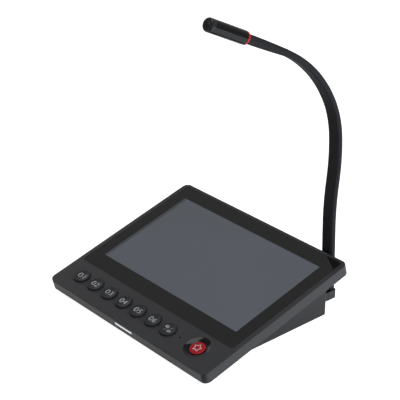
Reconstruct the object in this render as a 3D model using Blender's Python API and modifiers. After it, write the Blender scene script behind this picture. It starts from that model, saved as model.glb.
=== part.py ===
"""A paging console for a desk: a tilted touch panel with a row of keys, on a wedge-shaped case.

A flat gooseneck stands on a bracket behind the panel and carries a slim microphone head.
Lengths are in metres and angles in degrees. X runs to the right, Y to the rear and Z up.
The places along Y are measured from the panel's front edge, and one empty then moves the
whole console so that the world origin lies under its middle.
The panel's pieces are built in the panel's own frame: X across, Y up the slope from the
front edge, and Z out of the top face.
"""

import math

import bmesh
import bpy
from mathutils import Matrix, Vector

# General
GAP = 0.0003
OVERRUN = 0.001
ROUND_STEPS = 20
FINE_STEPS = 28
HOLE_STEPS = 16
SMALL_STEPS = 12

# Panel: the tilted slab that holds the screen and the keys
PANEL_THICKNESS = 0.0127
PANEL_TILT = 15.0
PANEL_CORNER = 0.0075
PANEL_EDGE = 0.0011
PANEL_LIFT = 0.002
COVER_WALL = 0.0026
CASE_SCREW_INSET = 0.0125
CASE_BOSS_RADIUS = 0.0036

# Screen, and the borders of glass and of panel round it
SCREEN_WIDTH = 0.2227
SCREEN_HEIGHT = 0.1253
SCREEN_SIDE_MARGIN = 0.01565
SCREEN_FRONT_MARGIN = 0.0204
SCREEN_REAR_MARGIN = 0.0179
GLASS_SIDE_MARGIN = 0.00575
GLASS_FRONT_MARGIN = 0.0053
GLASS_REAR_MARGIN = 0.0040
GLASS_THICKNESS = 0.0011
GLASS_CORNER = 0.0030
SCREEN_BORDER = 0.0040
SCREEN_THICKNESS = 0.0026
TRAY_BORDER = 0.0040
TRAY_THICKNESS = 0.0010
TRAY_BOSS_RADIUS = 0.0025

# Keys
KEY_COUNT = 7
KEY_STEPS_LEFT = 4
KEY_SIDE_MARGIN = 0.03215
KEY_ROW_LEFT_SHIFT = 0.0009
KEY_FRONT_MARGIN = 0.0092
KEY_RADIUS = 0.0094
KEY_CLEARANCE = 0.0004
KEY_STAND = 0.0022
KEY_DISH_SHARE = 0.30
DISH_MIDDLE_SHARE = 0.5
KEY_EDGE = 0.0009
KEY_TRAVEL = 0.0012
KEY_FLANGE = 0.0011
KEY_FLANGE_THICKNESS = 0.0010
KEY_STEM_RADIUS = 0.0026
SWITCH_SIDE = 0.0060
SWITCH_HEIGHT = 0.0017
KEY_BOARD_END = 0.0186
KEY_BOARD_DEPTH = 0.0260
KEY_BOARD_THICKNESS = 0.0010

# Emergency button in its dished well
WELL_SIDE_MARGIN = 0.03835
WELL_ROW_SHIFT = 0.0010
WELL_RADIUS = 0.0152
WELL_FLOOR_RADIUS = 0.0098
WELL_DEPTH = 0.0024
WELL_FLOOR = 0.0014
WELL_WALL = 0.0018
BUTTON_RADIUS = 0.0091
BUTTON_STAND = -0.0010
BUTTON_EDGE = 0.0010
BUTTON_TRAVEL = 0.0015
BUTTON_FLANGE = 0.0012
BUTTON_FLANGE_THICKNESS = 0.0009
BUTTON_STEM_RADIUS = 0.0030

# Small pieces of the panel
PINHOLE_SHARE = 0.495
PINHOLE_RADIUS = 0.0007
PANEL_MIC_RADIUS = 0.0030
PANEL_MIC_HEIGHT = 0.0022
BAR_WIDTH = 0.0288
BAR_HEIGHT = 0.0024
BAR_BELOW_TOP = 0.0056
BAR_DEPTH = 0.0060
BAR_CORNER = 0.00055

# Case: the flange that closes the panel from below, and the wedge under it
CASE_FLANGE = 0.0018
CASE_WALL = 0.0022
CASE_SIDE_CLEARANCE = 0.00575
CASE_FRONT = 0.0200
CASE_REAR_INSET = 0.0128
CASE_CORNER = 0.0012
CASE_INNER_CORNER = 0.0010
CASE_EDGE = 0.0008
FLANGE_OPENING_MARGIN = 0.0081
FLANGE_OPENING_CORNER = 0.0040
FOOT_STAND = 0.0020
FOOT_RADIUS = 0.0060
FOOT_RECESS = 0.0008
FOOT_EDGE = 0.0005
FOOT_INSET = 0.0150
SLOT_COUNT = 7
SLOT_PITCH = 0.0048
SLOT_WIDTH = 0.0020
SLOT_LENGTH = 0.0340

# Speaker over the slots
SPEAKER_SIDE_INSET = 0.0570
SPEAKER_BOARD_MARGIN = 0.0080
SPEAKER_RADIUS = 0.0250
SPEAKER_RIM = 0.0020
SPEAKER_HEIGHT = 0.0130
MAGNET_RADIUS = 0.0140
MAGNET_HEIGHT = 0.0050
CONE_FLOOR_SHARE = 0.5

# Main board and its sockets
BOARD_SIDE_INSET = 0.0120
BOARD_NECK_MARGIN = 0.0455
BOARD_DEPTH = 0.0652
BOARD_THICKNESS = 0.0016
BOARD_STAND = 0.0040
BOARD_SCREW_INSET = 0.0050
BOARD_POST_RADIUS = 0.0030
NETWORK_INSET = 0.0300
NETWORK_WIDTH = 0.0160
NETWORK_HEIGHT = 0.0135
NETWORK_DEPTH = 0.0180
NETWORK_MOUTH_WIDTH = 0.0118
NETWORK_MOUTH_HEIGHT = 0.0085
NETWORK_MOUTH_DEPTH = 0.0130
POWER_INSET = 0.0580
POWER_WIDTH = 0.0110
POWER_DEPTH = 0.0140
POWER_BORE_RADIUS = 0.0032
POWER_BORE_DEPTH = 0.0100
POWER_PIN_RADIUS = 0.0010
LINE_INSET = 0.0820
LINE_WIDTH = 0.0080
LINE_DEPTH = 0.0130
LINE_BORE_RADIUS = 0.0018
LINE_BORE_DEPTH = 0.0110
SHIELD_WIDTH = 0.0340
SHIELD_DEPTH = 0.0280
SHIELD_HEIGHT = 0.0035
SHIELD_SIDE_INSET = 0.0450
SHIELD_FRONT_INSET = 0.0200
SHIELD_EDGE = 0.0008

# Bracket that carries the neck
NECK_SIDE_INSET = 0.0165
NECK_PANEL_MARGIN = 0.0029
BRACKET_WALL = 0.0008
BRACKET_EDGE = 0.0012
BRACKET_BOTTOM = 0.0095
BRACKET_TOP = 0.0203
BRACKET_BLOCK_DEPTH = 0.0128
BRACKET_ARM_SHARE = 0.97
TENON_WIDTH = 0.0100
TENON_DEPTH = 0.0036
TENON_LENGTH = 0.0060
LEAD_RADIUS = 0.0015
LEAD_POINT_DIAMETERS = 2.5
LEAD_BORE_RADIUS = 0.0020
LEAD_BOARD_REACH = 0.0040
BRACKET_SCREW_OFFSET = 0.0048
CONNECTOR_SIDE = 0.0080
CONNECTOR_HEIGHT = 0.0050

# Neck: a flat gooseneck, drawn as a chain of arcs that each turn a little to the front or back
NECK_WIDTH = 0.0160
NECK_THICKNESS = 0.0070
NECK_CORNER = 0.0026
FIRST_ARC_LENGTH = 0.0300
MIDDLE_ARC_LENGTH = 0.0500
LAST_ARC_LENGTH = 0.0537
NECK_TURNS = (2.5, -1.2, -8.4, 11.3, 23.7, 18.2, 17.0, 0.1)
NECK_JOINTS = "FSFFSFFSF"
FIRST_JOINT = 0.0560
NECK_RING_STEP = 0.0110
JOINT_INSET = 0.0001
JOINT_CLEARANCE = 0.0003
SIDE_JOINT_CLEARANCE = 0.0005
COLLAR_LENGTH = 0.0640
COLLAR_END_RADIUS = 0.0061
COLLAR_RINGS = 8
COLLAR_SMOOTH_ANGLE = 50.0

# Microphone head
RING_RADIUS = 0.0069
RING_LENGTH = 0.0021
SPIGOT_RADIUS = 0.0036
SPIGOT_REACH = 0.0040
BARREL_RADIUS = 0.0071
BARREL_LENGTH = 0.0455
BARREL_WALL = 0.0010
BARREL_END_WALL = 0.0015
CAP_LENGTH = 0.0058
CAP_EDGE = 0.0014
CAP_MOUTH_RADIUS = 0.0033
CAP_BORE_RADIUS = 0.0022
CAP_MOUTH_DEPTH = 0.0012
CAPSULE_RADIUS = 0.0050
CAPSULE_LENGTH = 0.0060

# Screws
SCREW_RADIUS = 0.0013
SCREW_HEAD_RADIUS = 0.0025
SCREW_HEAD_HEIGHT = 0.0014
SCREW_CLEARANCE = 0.0002
CASE_SCREW_LENGTH = 0.0062
BOARD_SCREW_LENGTH = 0.0032
BRACKET_SCREW_LENGTH = 0.0080
SOCKET_SHARE = 0.5

# Sizes that follow from the ones above
TILT = math.radians(PANEL_TILT)
FLOOR = FOOT_STAND + CASE_WALL
PANEL_FRONT_TOP = FOOT_STAND + PANEL_LIFT + PANEL_THICKNESS * math.cos(TILT)
GLASS_WIDTH = SCREEN_WIDTH + 2 * SCREEN_SIDE_MARGIN
PANEL_WIDTH = GLASS_WIDTH + 2 * GLASS_SIDE_MARGIN
KEY_ROW = KEY_FRONT_MARGIN + WELL_RADIUS
WELL_ROW = KEY_ROW + WELL_ROW_SHIFT
GLASS_FRONT = KEY_ROW + WELL_RADIUS + GLASS_FRONT_MARGIN
SCREEN_FRONT = GLASS_FRONT + SCREEN_FRONT_MARGIN
GLASS_REAR = SCREEN_FRONT + SCREEN_HEIGHT + SCREEN_REAR_MARGIN
PANEL_DEPTH = GLASS_REAR + GLASS_REAR_MARGIN
KEY_PITCH = (PANEL_WIDTH / 2 - KEY_SIDE_MARGIN) / KEY_STEPS_LEFT
WELL_ACROSS = PANEL_WIDTH / 2 - WELL_SIDE_MARGIN
KEY_BOARD_WIDTH = 2 * (WELL_ACROSS + KEY_BOARD_END)
FLANGE_OPENING_FRONT = KEY_ROW + KEY_BOARD_DEPTH / 2 + FLANGE_OPENING_MARGIN
PANEL_BACK = PANEL_DEPTH * math.cos(TILT) + PANEL_THICKNESS * math.sin(TILT)
CASE_WIDTH = PANEL_WIDTH - 2 * (CASE_SCREW_INSET + SCREW_HEAD_RADIUS + CASE_SIDE_CLEARANCE)
CASE_REAR = PANEL_BACK - CASE_REAR_INSET
NECK_ACROSS = CASE_WIDTH / 2 - NECK_SIDE_INSET
NECK_BACK = PANEL_BACK + NECK_PANEL_MARGIN + NECK_THICKNESS / 2
BOARD_LEFT = BOARD_SIDE_INSET - CASE_WIDTH / 2
BOARD_RIGHT = NECK_ACROSS - BOARD_NECK_MARGIN
BOARD_FRONT = CASE_REAR - CASE_WALL - GAP - BOARD_DEPTH
BOARD_TOP = FLOOR + BOARD_STAND + GAP + BOARD_THICKNESS
NETWORK_ACROSS = BOARD_LEFT + NETWORK_INSET
POWER_ACROSS = BOARD_LEFT + POWER_INSET
LINE_ACROSS = BOARD_LEFT + LINE_INSET
SPEAKER_ACROSS = SPEAKER_SIDE_INSET - CASE_WIDTH / 2
SPEAKER_BACK = BOARD_FRONT - SPEAKER_BOARD_MARGIN - SPEAKER_RADIUS
BRACKET_SEAT = CASE_REAR + GAP
BRACKET_BACK = NECK_BACK + NECK_THICKNESS / 2 + BRACKET_WALL
BRACKET_HALF = NECK_WIDTH / 2 + BRACKET_WALL
LEAD_HEIGHT = FOOT_STAND + (BRACKET_BOTTOM + BRACKET_TOP) / 2 - TENON_LENGTH / 2
NECK_FOOT = Vector((NECK_ACROSS, NECK_BACK, FOOT_STAND + BRACKET_TOP + GAP))
MIDDLE_ARCS = len(NECK_TURNS) - 2
ARC_LENGTHS = [FIRST_ARC_LENGTH] + MIDDLE_ARCS * [MIDDLE_ARC_LENGTH] + [LAST_ARC_LENGTH]
NECK_LENGTH = sum(ARC_LENGTHS)
COLLAR_START = NECK_LENGTH - COLLAR_LENGTH
JOINT_STEP = (COLLAR_START - FIRST_JOINT) / len(NECK_JOINTS)
KEY_BOARD_TOP = -PANEL_THICKNESS + CASE_FLANGE + GAP + KEY_BOARD_THICKNESS
SWITCH_TOP = KEY_BOARD_TOP + GAP + SWITCH_HEIGHT

BLACK_SHELL = ("black_shell", (0.034, 0.034, 0.036), 0.55, 0.0)
PARTS = None
CUTTERS = None


def clear_scene():
    for obj in list(bpy.data.objects):
        bpy.data.objects.remove(obj)


def new_collection(name):
    collection = bpy.data.collections.new(name)
    bpy.context.scene.collection.children.link(collection)
    return collection


def material(name, colour, roughness, metallic):
    """A plain surface. A name that exists already is used again."""
    found = bpy.data.materials.get(name)
    if found:
        return found
    made = bpy.data.materials.new(name)
    made.use_nodes = True
    shader = made.node_tree.nodes["Principled BSDF"]
    shader.inputs["Base Color"].default_value = (*colour, 1.0)
    shader.inputs["Roughness"].default_value = roughness
    shader.inputs["Metallic"].default_value = metallic
    made.diffuse_color = (*colour, 1.0)
    return made


def empty(name, parent, location=(0, 0, 0), rotation=(0, 0, 0)):
    obj = bpy.data.objects.new(name, None)
    obj.location = location
    obj.rotation_euler = rotation
    obj.parent = parent
    PARTS.objects.link(obj)
    return obj


def place(name, bm, parent, location=(0, 0, 0), rotation=(0, 0, 0), finish=None):
    """Makes an object of a bmesh. Without a finish it is a cutter."""
    bmesh.ops.recalc_face_normals(bm, faces=bm.faces)
    mesh = bpy.data.meshes.new(name)
    bm.to_mesh(mesh)
    bm.free()
    return place_mesh(name, mesh, parent, location, rotation, finish)


def place_mesh(name, mesh, parent, location=(0, 0, 0), rotation=(0, 0, 0), finish=None):
    obj = bpy.data.objects.new(name, mesh)
    obj.location = location
    obj.rotation_euler = rotation
    obj.parent = parent
    if finish:
        PARTS.objects.link(obj)
        if not mesh.materials:
            mesh.materials.append(material(*finish))
    else:
        CUTTERS.objects.link(obj)
        obj.hide_render = True
        obj.display_type = "WIRE"
    return obj


def combine(target, other, operation):
    modifier = target.modifiers.new(other.name, "BOOLEAN")
    modifier.operation = operation
    modifier.object = other


def cut(target, *cutters):
    for cutter in cutters:
        combine(target, cutter, "DIFFERENCE")


def join(target, *others):
    for other in others:
        combine(target, other, "UNION")


def smooth(obj, angle=35.0):
    obj.data.shade_smooth()
    obj.data.set_sharp_from_angle(angle=math.radians(angle))


def block(width, depth, low, high, radius=0.0, segments=4):
    """A box centred on X and Y, from low to high in Z, with its upright edges rounded."""
    bm = bmesh.new()
    bmesh.ops.create_cube(bm, size=1.0)
    bmesh.ops.scale(bm, vec=(width, depth, high - low), verts=bm.verts)
    bmesh.ops.translate(bm, vec=(0, 0, (low + high) / 2), verts=bm.verts)
    if radius:
        upright = [e for e in bm.edges if is_upright(e)]
        bmesh.ops.bevel(
            bm, geom=upright, offset=radius, segments=segments, affect="EDGES", profile=0.5
        )
    return bm


def is_upright(edge):
    direction = (edge.verts[1].co - edge.verts[0].co).normalized()
    return abs(direction.z) > abs(direction.x) + abs(direction.y)


def round_level_edges(bm, level, radius, segments=2):
    """Rounds the outline at one height of a block."""
    close = GAP / 10
    chosen = [e for e in bm.edges if all(abs(v.co.z - level) < close for v in e.verts)]
    bmesh.ops.bevel(
        bm, geom=chosen, offset=radius, segments=segments, affect="EDGES", profile=0.5
    )


def rod(radius, low, high, steps=HOLE_STEPS):
    """A cylinder round Z, from low to high."""
    bm = bmesh.new()
    bmesh.ops.create_cone(
        bm,
        cap_ends=True,
        segments=steps,
        radius1=radius,
        radius2=radius,
        depth=high - low,
    )
    bmesh.ops.translate(bm, vec=(0, 0, (low + high) / 2), verts=bm.verts)
    return bm


def turned(name, profile, parent, finish, location=(0, 0, 0), rotation=(0, 0, 0), steps=ROUND_STEPS):
    """A profile of (radius, height) points, from top to bottom, turned round Z."""
    bm = bmesh.new()
    points = [bm.verts.new((radius, 0, height)) for radius, height in profile]
    for first, second in zip(points, points[1:]):
        bm.edges.new((first, second))
    mesh = bpy.data.meshes.new(name)
    bm.to_mesh(mesh)
    bm.free()
    obj = place_mesh(name, mesh, parent, location, rotation, finish)
    screw = obj.modifiers.new("Turn", "SCREW")
    screw.steps = steps
    screw.render_steps = steps
    screw.use_merge_vertices = True
    screw.merge_threshold = GAP / 10
    return obj


def round_edge(centre_radius, centre_height, radius, start, end, steps=2):
    """Profile points along an arc; 90 degrees points up and 0 points outwards."""
    angles = [math.radians(start + (end - start) * i / steps) for i in range(steps + 1)]
    return [
        (centre_radius + radius * math.cos(a), centre_height + radius * math.sin(a)) for a in angles
    ]


def screw(name, parent, location, rotation, length):
    """A cheese-head screw with its shank along +Z and its head below, with a driver socket."""
    profile = [
        (0.0, length),
        (SCREW_RADIUS, length),
        (SCREW_RADIUS, 0.0),
        (SCREW_HEAD_RADIUS, 0.0),
        (SCREW_HEAD_RADIUS, -SCREW_HEAD_HEIGHT),
        (SCREW_RADIUS, -SCREW_HEAD_HEIGHT),
        (SCREW_RADIUS, -SCREW_HEAD_HEIGHT * SOCKET_SHARE),
        (0.0, -SCREW_HEAD_HEIGHT * SOCKET_SHARE),
    ]
    finish = ("steel", (0.55, 0.55, 0.56), 0.35, 1.0)
    return turned(name, profile, parent, finish, location, rotation, steps=SMALL_STEPS)


def pilot_rod(low, high):
    """The cutter of a screw's hole."""
    return rod(SCREW_RADIUS + SCREW_CLEARANCE, low, high, SMALL_STEPS)


def key_places():
    """Four keys stand left of the fifth, which is close to the panel's middle, and two right."""
    return [(i - KEY_STEPS_LEFT) * KEY_PITCH - KEY_ROW_LEFT_SHIFT for i in range(KEY_COUNT)]


def pinhole_across():
    """The pinhole lies between the last key and the well."""
    key_edge = key_places()[-1] + KEY_RADIUS
    well_edge = WELL_ACROSS - WELL_RADIUS
    return key_edge + (well_edge - key_edge) * PINHOLE_SHARE


def case_screw_places():
    across = PANEL_WIDTH / 2 - CASE_SCREW_INSET
    return [(x, y) for x in (-across, across) for y in (CASE_SCREW_INSET, PANEL_DEPTH - CASE_SCREW_INSET)]


def tray_top():
    """The height of the screen's tray, under the glass and the screen."""
    return -GLASS_THICKNESS - GAP - SCREEN_THICKNESS - GAP


def tray_boss_places():
    across = (SCREEN_WIDTH / 2 + SCREEN_BORDER) + TRAY_BOSS_RADIUS + GAP
    middle = SCREEN_FRONT + SCREEN_HEIGHT / 2
    along = SCREEN_HEIGHT / 2 - SCREEN_BORDER
    return [(x, y) for x in (-across, across) for y in (middle - along, middle + along)]


def panel_shell(panel):
    """The open slab: top face and four walls, rounded along the top edge."""
    bm = block(PANEL_WIDTH, PANEL_DEPTH, -PANEL_THICKNESS, 0.0, PANEL_CORNER)
    round_level_edges(bm, 0.0, PANEL_EDGE)
    bottom = [f for f in bm.faces if f.calc_center_median().z < -PANEL_THICKNESS + GAP / 10]
    bmesh.ops.delete(bm, geom=bottom, context="FACES_ONLY")
    bmesh.ops.translate(bm, vec=(0, PANEL_DEPTH / 2, 0), verts=bm.verts)
    cover = place("top_cover", bm, panel, finish=BLACK_SHELL)
    wall = cover.modifiers.new("Wall", "SOLIDIFY")
    wall.thickness = COVER_WALL
    wall.offset = -1.0
    wall.use_even_offset = True
    return cover


def glass_middle():
    return (GLASS_FRONT + GLASS_REAR) / 2


def cut_screen_window(cover, panel):
    """A shallow seat for the glass, and a window through it for the screen."""
    seat = block(
        GLASS_WIDTH + 2 * GAP,
        GLASS_REAR - GLASS_FRONT + 2 * GAP,
        -GLASS_THICKNESS - GAP,
        OVERRUN,
        GLASS_CORNER + GAP,
    )
    window = block(
        SCREEN_WIDTH + 2 * (SCREEN_BORDER + GAP),
        SCREEN_HEIGHT + 2 * (SCREEN_BORDER + GAP),
        -COVER_WALL - OVERRUN,
        OVERRUN,
    )
    middle = SCREEN_FRONT + SCREEN_HEIGHT / 2
    cut(cover, place("glass_seat_cut", seat, panel, (0, glass_middle(), 0)))
    cut(cover, place("window_cut", window, panel, (0, middle, 0)))


def cut_key_holes(cover, panel):
    for number, across in enumerate(key_places(), start=1):
        hole = rod(KEY_RADIUS + KEY_CLEARANCE, -COVER_WALL - OVERRUN, OVERRUN, FINE_STEPS)
        cut(cover, place(f"key_hole_{number}", hole, panel, (across, KEY_ROW, 0)))


def add_well(cover, panel):
    """The dished well of the emergency button: a thick floor below, then a cone cut from above."""
    place_of_well = (WELL_ACROSS, WELL_ROW, 0)
    floor = rod(WELL_RADIUS + WELL_WALL, -WELL_DEPTH - WELL_FLOOR, -COVER_WALL / 2, FINE_STEPS)
    join(cover, place("well_floor", floor, panel, place_of_well))
    dish = bmesh.new()
    bmesh.ops.create_cone(
        dish,
        cap_ends=True,
        segments=FINE_STEPS,
        radius1=WELL_FLOOR_RADIUS,
        radius2=WELL_RADIUS + (WELL_RADIUS - WELL_FLOOR_RADIUS) * OVERRUN / WELL_DEPTH,
        depth=WELL_DEPTH + OVERRUN,
    )
    bmesh.ops.translate(dish, vec=(0, 0, (OVERRUN - WELL_DEPTH) / 2), verts=dish.verts)
    cut(cover, place("well_dish", dish, panel, place_of_well))
    low = -WELL_DEPTH - WELL_FLOOR - OVERRUN
    hole = rod(BUTTON_RADIUS + KEY_CLEARANCE, low, OVERRUN, FINE_STEPS)
    cut(cover, place("well_hole", hole, panel, place_of_well))


def cut_small_openings(cover, panel):
    pinhole = rod(PINHOLE_RADIUS, -COVER_WALL - OVERRUN, OVERRUN, SMALL_STEPS)
    cut(cover, place("pinhole_cut", pinhole, panel, (pinhole_across(), KEY_ROW, 0)))
    half = BAR_HEIGHT / 2 + GAP
    bar = block(
        BAR_WIDTH + 2 * GAP, COVER_WALL + 2 * OVERRUN, -BAR_BELOW_TOP - half, -BAR_BELOW_TOP + half
    )
    cut(cover, place("light_bar_cut", bar, panel, (0, COVER_WALL / 2, 0)))


def add_cover_bosses(cover, panel):
    """Posts under the top face: four take the case screws, four hold the screen's tray."""
    screw_floor = -PANEL_THICKNESS + CASE_FLANGE + GAP
    for number, (x, y) in enumerate(case_screw_places(), start=1):
        post = rod(CASE_BOSS_RADIUS, screw_floor, -COVER_WALL / 2)
        join(cover, place(f"cover_post_{number}", post, panel, (x, y, 0)))
        top = -PANEL_THICKNESS + CASE_SCREW_LENGTH + GAP
        pilot = pilot_rod(screw_floor - OVERRUN, top)
        cut(cover, place(f"cover_pilot_{number}", pilot, panel, (x, y, 0)))
    for number, (x, y) in enumerate(tray_boss_places(), start=1):
        skin = (COVER_WALL - GLASS_THICKNESS - GAP) / 2
        post = rod(TRAY_BOSS_RADIUS, tray_top() + GAP, skin - COVER_WALL)
        join(cover, place(f"tray_post_{number}", post, panel, (x, y, 0)))


def make_cover(panel):
    cover = panel_shell(panel)
    cut_screen_window(cover, panel)
    cut_key_holes(cover, panel)
    add_well(cover, panel)
    cut_small_openings(cover, panel)
    add_cover_bosses(cover, panel)


def make_screen(panel):
    """Cover glass, the screen bonded under it, and the metal tray behind."""
    glass = block(GLASS_WIDTH, GLASS_REAR - GLASS_FRONT, -GLASS_THICKNESS, 0.0, GLASS_CORNER)
    finish = ("cover_glass", (0.02, 0.02, 0.022), 0.08, 0.0)
    place("cover_glass", glass, panel, (0, glass_middle(), 0), finish=finish)
    middle = SCREEN_FRONT + SCREEN_HEIGHT / 2
    top = -GLASS_THICKNESS - GAP
    low = top - SCREEN_THICKNESS
    wide = SCREEN_WIDTH + 2 * SCREEN_BORDER
    high = SCREEN_HEIGHT + 2 * SCREEN_BORDER
    finish = ("screen", (0.09, 0.095, 0.10), 0.3, 0.0)
    place("display_screen", block(wide, high, low, top), panel, (0, middle, 0), finish=finish)
    tray_wide = wide + 2 * (2 * TRAY_BOSS_RADIUS + TRAY_BORDER)
    tray = block(tray_wide, high, tray_top() - TRAY_THICKNESS, tray_top(), TRAY_BORDER)
    finish = ("plated_steel", (0.5, 0.5, 0.5), 0.4, 1.0)
    place("display_tray", tray, panel, (0, middle, 0), finish=finish)


def key_profile(radius, stand, edge, flange, flange_top, flange_thickness, stem, bottom, dish):
    """Half the outline of a round push piece: dished top, skirt, flange and stem."""
    profile = [(0.0, stand - dish)]
    middle = DISH_MIDDLE_SHARE
    profile += [(radius * middle, stand - dish * (1 - middle**2))]
    profile += round_edge(radius - edge, stand - edge, edge, 90, 0)
    profile += [
        (radius, flange_top),
        (radius + flange, flange_top),
        (radius + flange, flange_top - flange_thickness),
        (stem, flange_top - flange_thickness),
        (stem, bottom),
        (0.0, bottom),
    ]
    return profile


def make_keys(panel):
    """Round caps held under the cover by a flange; each stem stands over its switch."""
    bottom = SWITCH_TOP + KEY_TRAVEL + KEY_CLEARANCE / 2
    profile = key_profile(
        KEY_RADIUS,
        KEY_STAND,
        KEY_EDGE,
        KEY_FLANGE,
        -COVER_WALL - GAP,
        KEY_FLANGE_THICKNESS,
        KEY_STEM_RADIUS,
        bottom,
        KEY_STAND * KEY_DISH_SHARE,
    )
    finish = ("key_plastic", (0.012, 0.012, 0.013), 0.4, 0.0)
    names = [f"key_cap_{i}" for i in range(1, KEY_COUNT)] + ["talk_key"]
    for name, across in zip(names, key_places()):
        smooth(turned(name, profile, panel, finish, (across, KEY_ROW, 0)))


def make_emergency_button(panel):
    flange_top = -WELL_DEPTH - WELL_FLOOR - GAP
    bottom = SWITCH_TOP + BUTTON_TRAVEL + KEY_CLEARANCE / 2
    profile = key_profile(
        BUTTON_RADIUS,
        BUTTON_STAND,
        BUTTON_EDGE,
        BUTTON_FLANGE,
        flange_top,
        BUTTON_FLANGE_THICKNESS,
        BUTTON_STEM_RADIUS,
        bottom,
        0.0,
    )
    finish = ("red_plastic", (0.40, 0.012, 0.018), 0.3, 0.0)
    button = turned(
        "emergency_button", profile, panel, finish, (WELL_ACROSS, WELL_ROW, 0), steps=FINE_STEPS
    )
    smooth(button)


def make_switches(panel):
    """The long board under the keys, with one switch for each key and the button."""
    board = block(
        KEY_BOARD_WIDTH, KEY_BOARD_DEPTH, KEY_BOARD_TOP - KEY_BOARD_THICKNESS, KEY_BOARD_TOP
    )
    finish = ("circuit_board", (0.02, 0.12, 0.05), 0.5, 0.0)
    place("key_board", board, panel, (0, KEY_ROW, 0), finish=finish)
    names = [f"key_switch_{i}" for i in range(1, KEY_COUNT)] + ["talk_switch", "emergency_switch"]
    finish = ("switch_plastic", (0.03, 0.03, 0.03), 0.5, 0.0)
    spots = [(across, KEY_ROW, 0) for across in key_places()] + [(WELL_ACROSS, WELL_ROW, 0)]
    for name, spot in zip(names, spots):
        body = block(SWITCH_SIDE, SWITCH_SIDE, KEY_BOARD_TOP + GAP, SWITCH_TOP)
        place(name, body, panel, spot, finish=finish)


def make_panel_details(panel):
    """The light bar in the front wall and the small microphone behind the pinhole."""
    half = BAR_HEIGHT / 2
    low = -BAR_BELOW_TOP - half
    bar = block(BAR_WIDTH, BAR_DEPTH, low, low + BAR_HEIGHT, BAR_CORNER, 2)
    finish = ("light_bar", (0.62, 0.62, 0.62), 0.35, 0.0)
    place("light_bar", bar, panel, (0, BAR_DEPTH / 2, 0), finish=finish)
    top = -COVER_WALL - GAP
    capsule = rod(PANEL_MIC_RADIUS, top - PANEL_MIC_HEIGHT, top)
    finish = ("aluminium_can", (0.6, 0.6, 0.6), 0.35, 1.0)
    place("panel_microphone", capsule, panel, (pinhole_across(), KEY_ROW, 0), finish=finish)


def under_plane(offset):
    """A point and the normal of a plane parallel to the panel, offset below its top face."""
    normal = Vector((0, -math.sin(TILT), math.cos(TILT)))
    return Vector((0, 0, PANEL_FRONT_TOP)) - normal * offset, normal


def wedge(inset, low, offset):
    """The case's wedge, drawn in by inset, from a level floor up to a plane under the panel."""
    width = CASE_WIDTH - 2 * inset
    depth = CASE_REAR - CASE_FRONT - 2 * inset
    high = PANEL_FRONT_TOP + PANEL_DEPTH * math.sin(TILT)
    bm = block(width, depth, low, high, CASE_INNER_CORNER if inset else CASE_CORNER)
    if not inset:
        round_level_edges(bm, low, CASE_EDGE)
    bmesh.ops.translate(bm, vec=(0, (CASE_FRONT + CASE_REAR) / 2, 0), verts=bm.verts)
    point, normal = under_plane(offset)
    cut_away = bmesh.ops.bisect_plane(
        bm,
        geom=bm.verts[:] + bm.edges[:] + bm.faces[:],
        plane_co=point,
        plane_no=normal,
        clear_outer=True,
    )
    rim = [e for e in cut_away["geom_cut"] if isinstance(e, bmesh.types.BMEdge)]
    bmesh.ops.contextual_create(bm, geom=rim)
    return bm


def board_middle():
    return (BOARD_LEFT + BOARD_RIGHT) / 2, BOARD_FRONT + BOARD_DEPTH / 2


def board_screw_places():
    """Two screws hold the board's front edge; the sockets in the rear wall hold its back."""
    front = BOARD_FRONT + BOARD_SCREW_INSET
    return [(BOARD_LEFT + BOARD_SCREW_INSET, front), (BOARD_RIGHT - BOARD_SCREW_INSET, front)]


def board_rest_places():
    """Two plain posts under the board's rear edge."""
    back = BOARD_FRONT + BOARD_DEPTH - BOARD_SCREW_INSET
    return [(BOARD_LEFT + BOARD_SCREW_INSET, back), (BOARD_RIGHT - BOARD_SCREW_INSET, back)]


def foot_places():
    across = CASE_WIDTH / 2 - FOOT_INSET
    return [(x, y) for x in (-across, across) for y in (CASE_FRONT + FOOT_INSET, CASE_REAR - FOOT_INSET)]


def bracket_screw_places():
    return [NECK_ACROSS - BRACKET_SCREW_OFFSET, NECK_ACROSS + BRACKET_SCREW_OFFSET]


def hollow_case(case, desk, panel):
    """Hollows the wedge, and opens the flange above it behind the key row."""
    inside = wedge(CASE_WALL, FLOOR, PANEL_THICKNESS + GAP)
    cut(case, place("case_hollow", inside, desk))
    front = FLANGE_OPENING_FRONT
    rear = CASE_REAR / math.cos(TILT) - PANEL_THICKNESS * math.tan(TILT) - 2 * CASE_WALL
    opening = block(
        CASE_WIDTH - 4 * CASE_WALL,
        rear - front,
        -PANEL_THICKNESS - 2 * OVERRUN,
        -PANEL_THICKNESS + CASE_FLANGE + OVERRUN,
        FLANGE_OPENING_CORNER,
    )
    cut(case, place("flange_opening", opening, panel, (0, (front + rear) / 2, 0)))


def add_posts(case, desk):
    for number, (x, y) in enumerate(board_screw_places() + board_rest_places(), start=1):
        post = rod(BOARD_POST_RADIUS, FLOOR - CASE_WALL / 2, FLOOR + BOARD_STAND)
        join(case, place(f"board_post_{number}", post, desk, (x, y, 0)))
    for number, (x, y) in enumerate(board_screw_places(), start=1):
        low = FLOOR + BOARD_STAND - BOARD_SCREW_LENGTH
        pilot = pilot_rod(low, FLOOR + BOARD_STAND + OVERRUN)
        cut(case, place(f"board_pilot_{number}", pilot, desk, (x, y, 0)))


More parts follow.
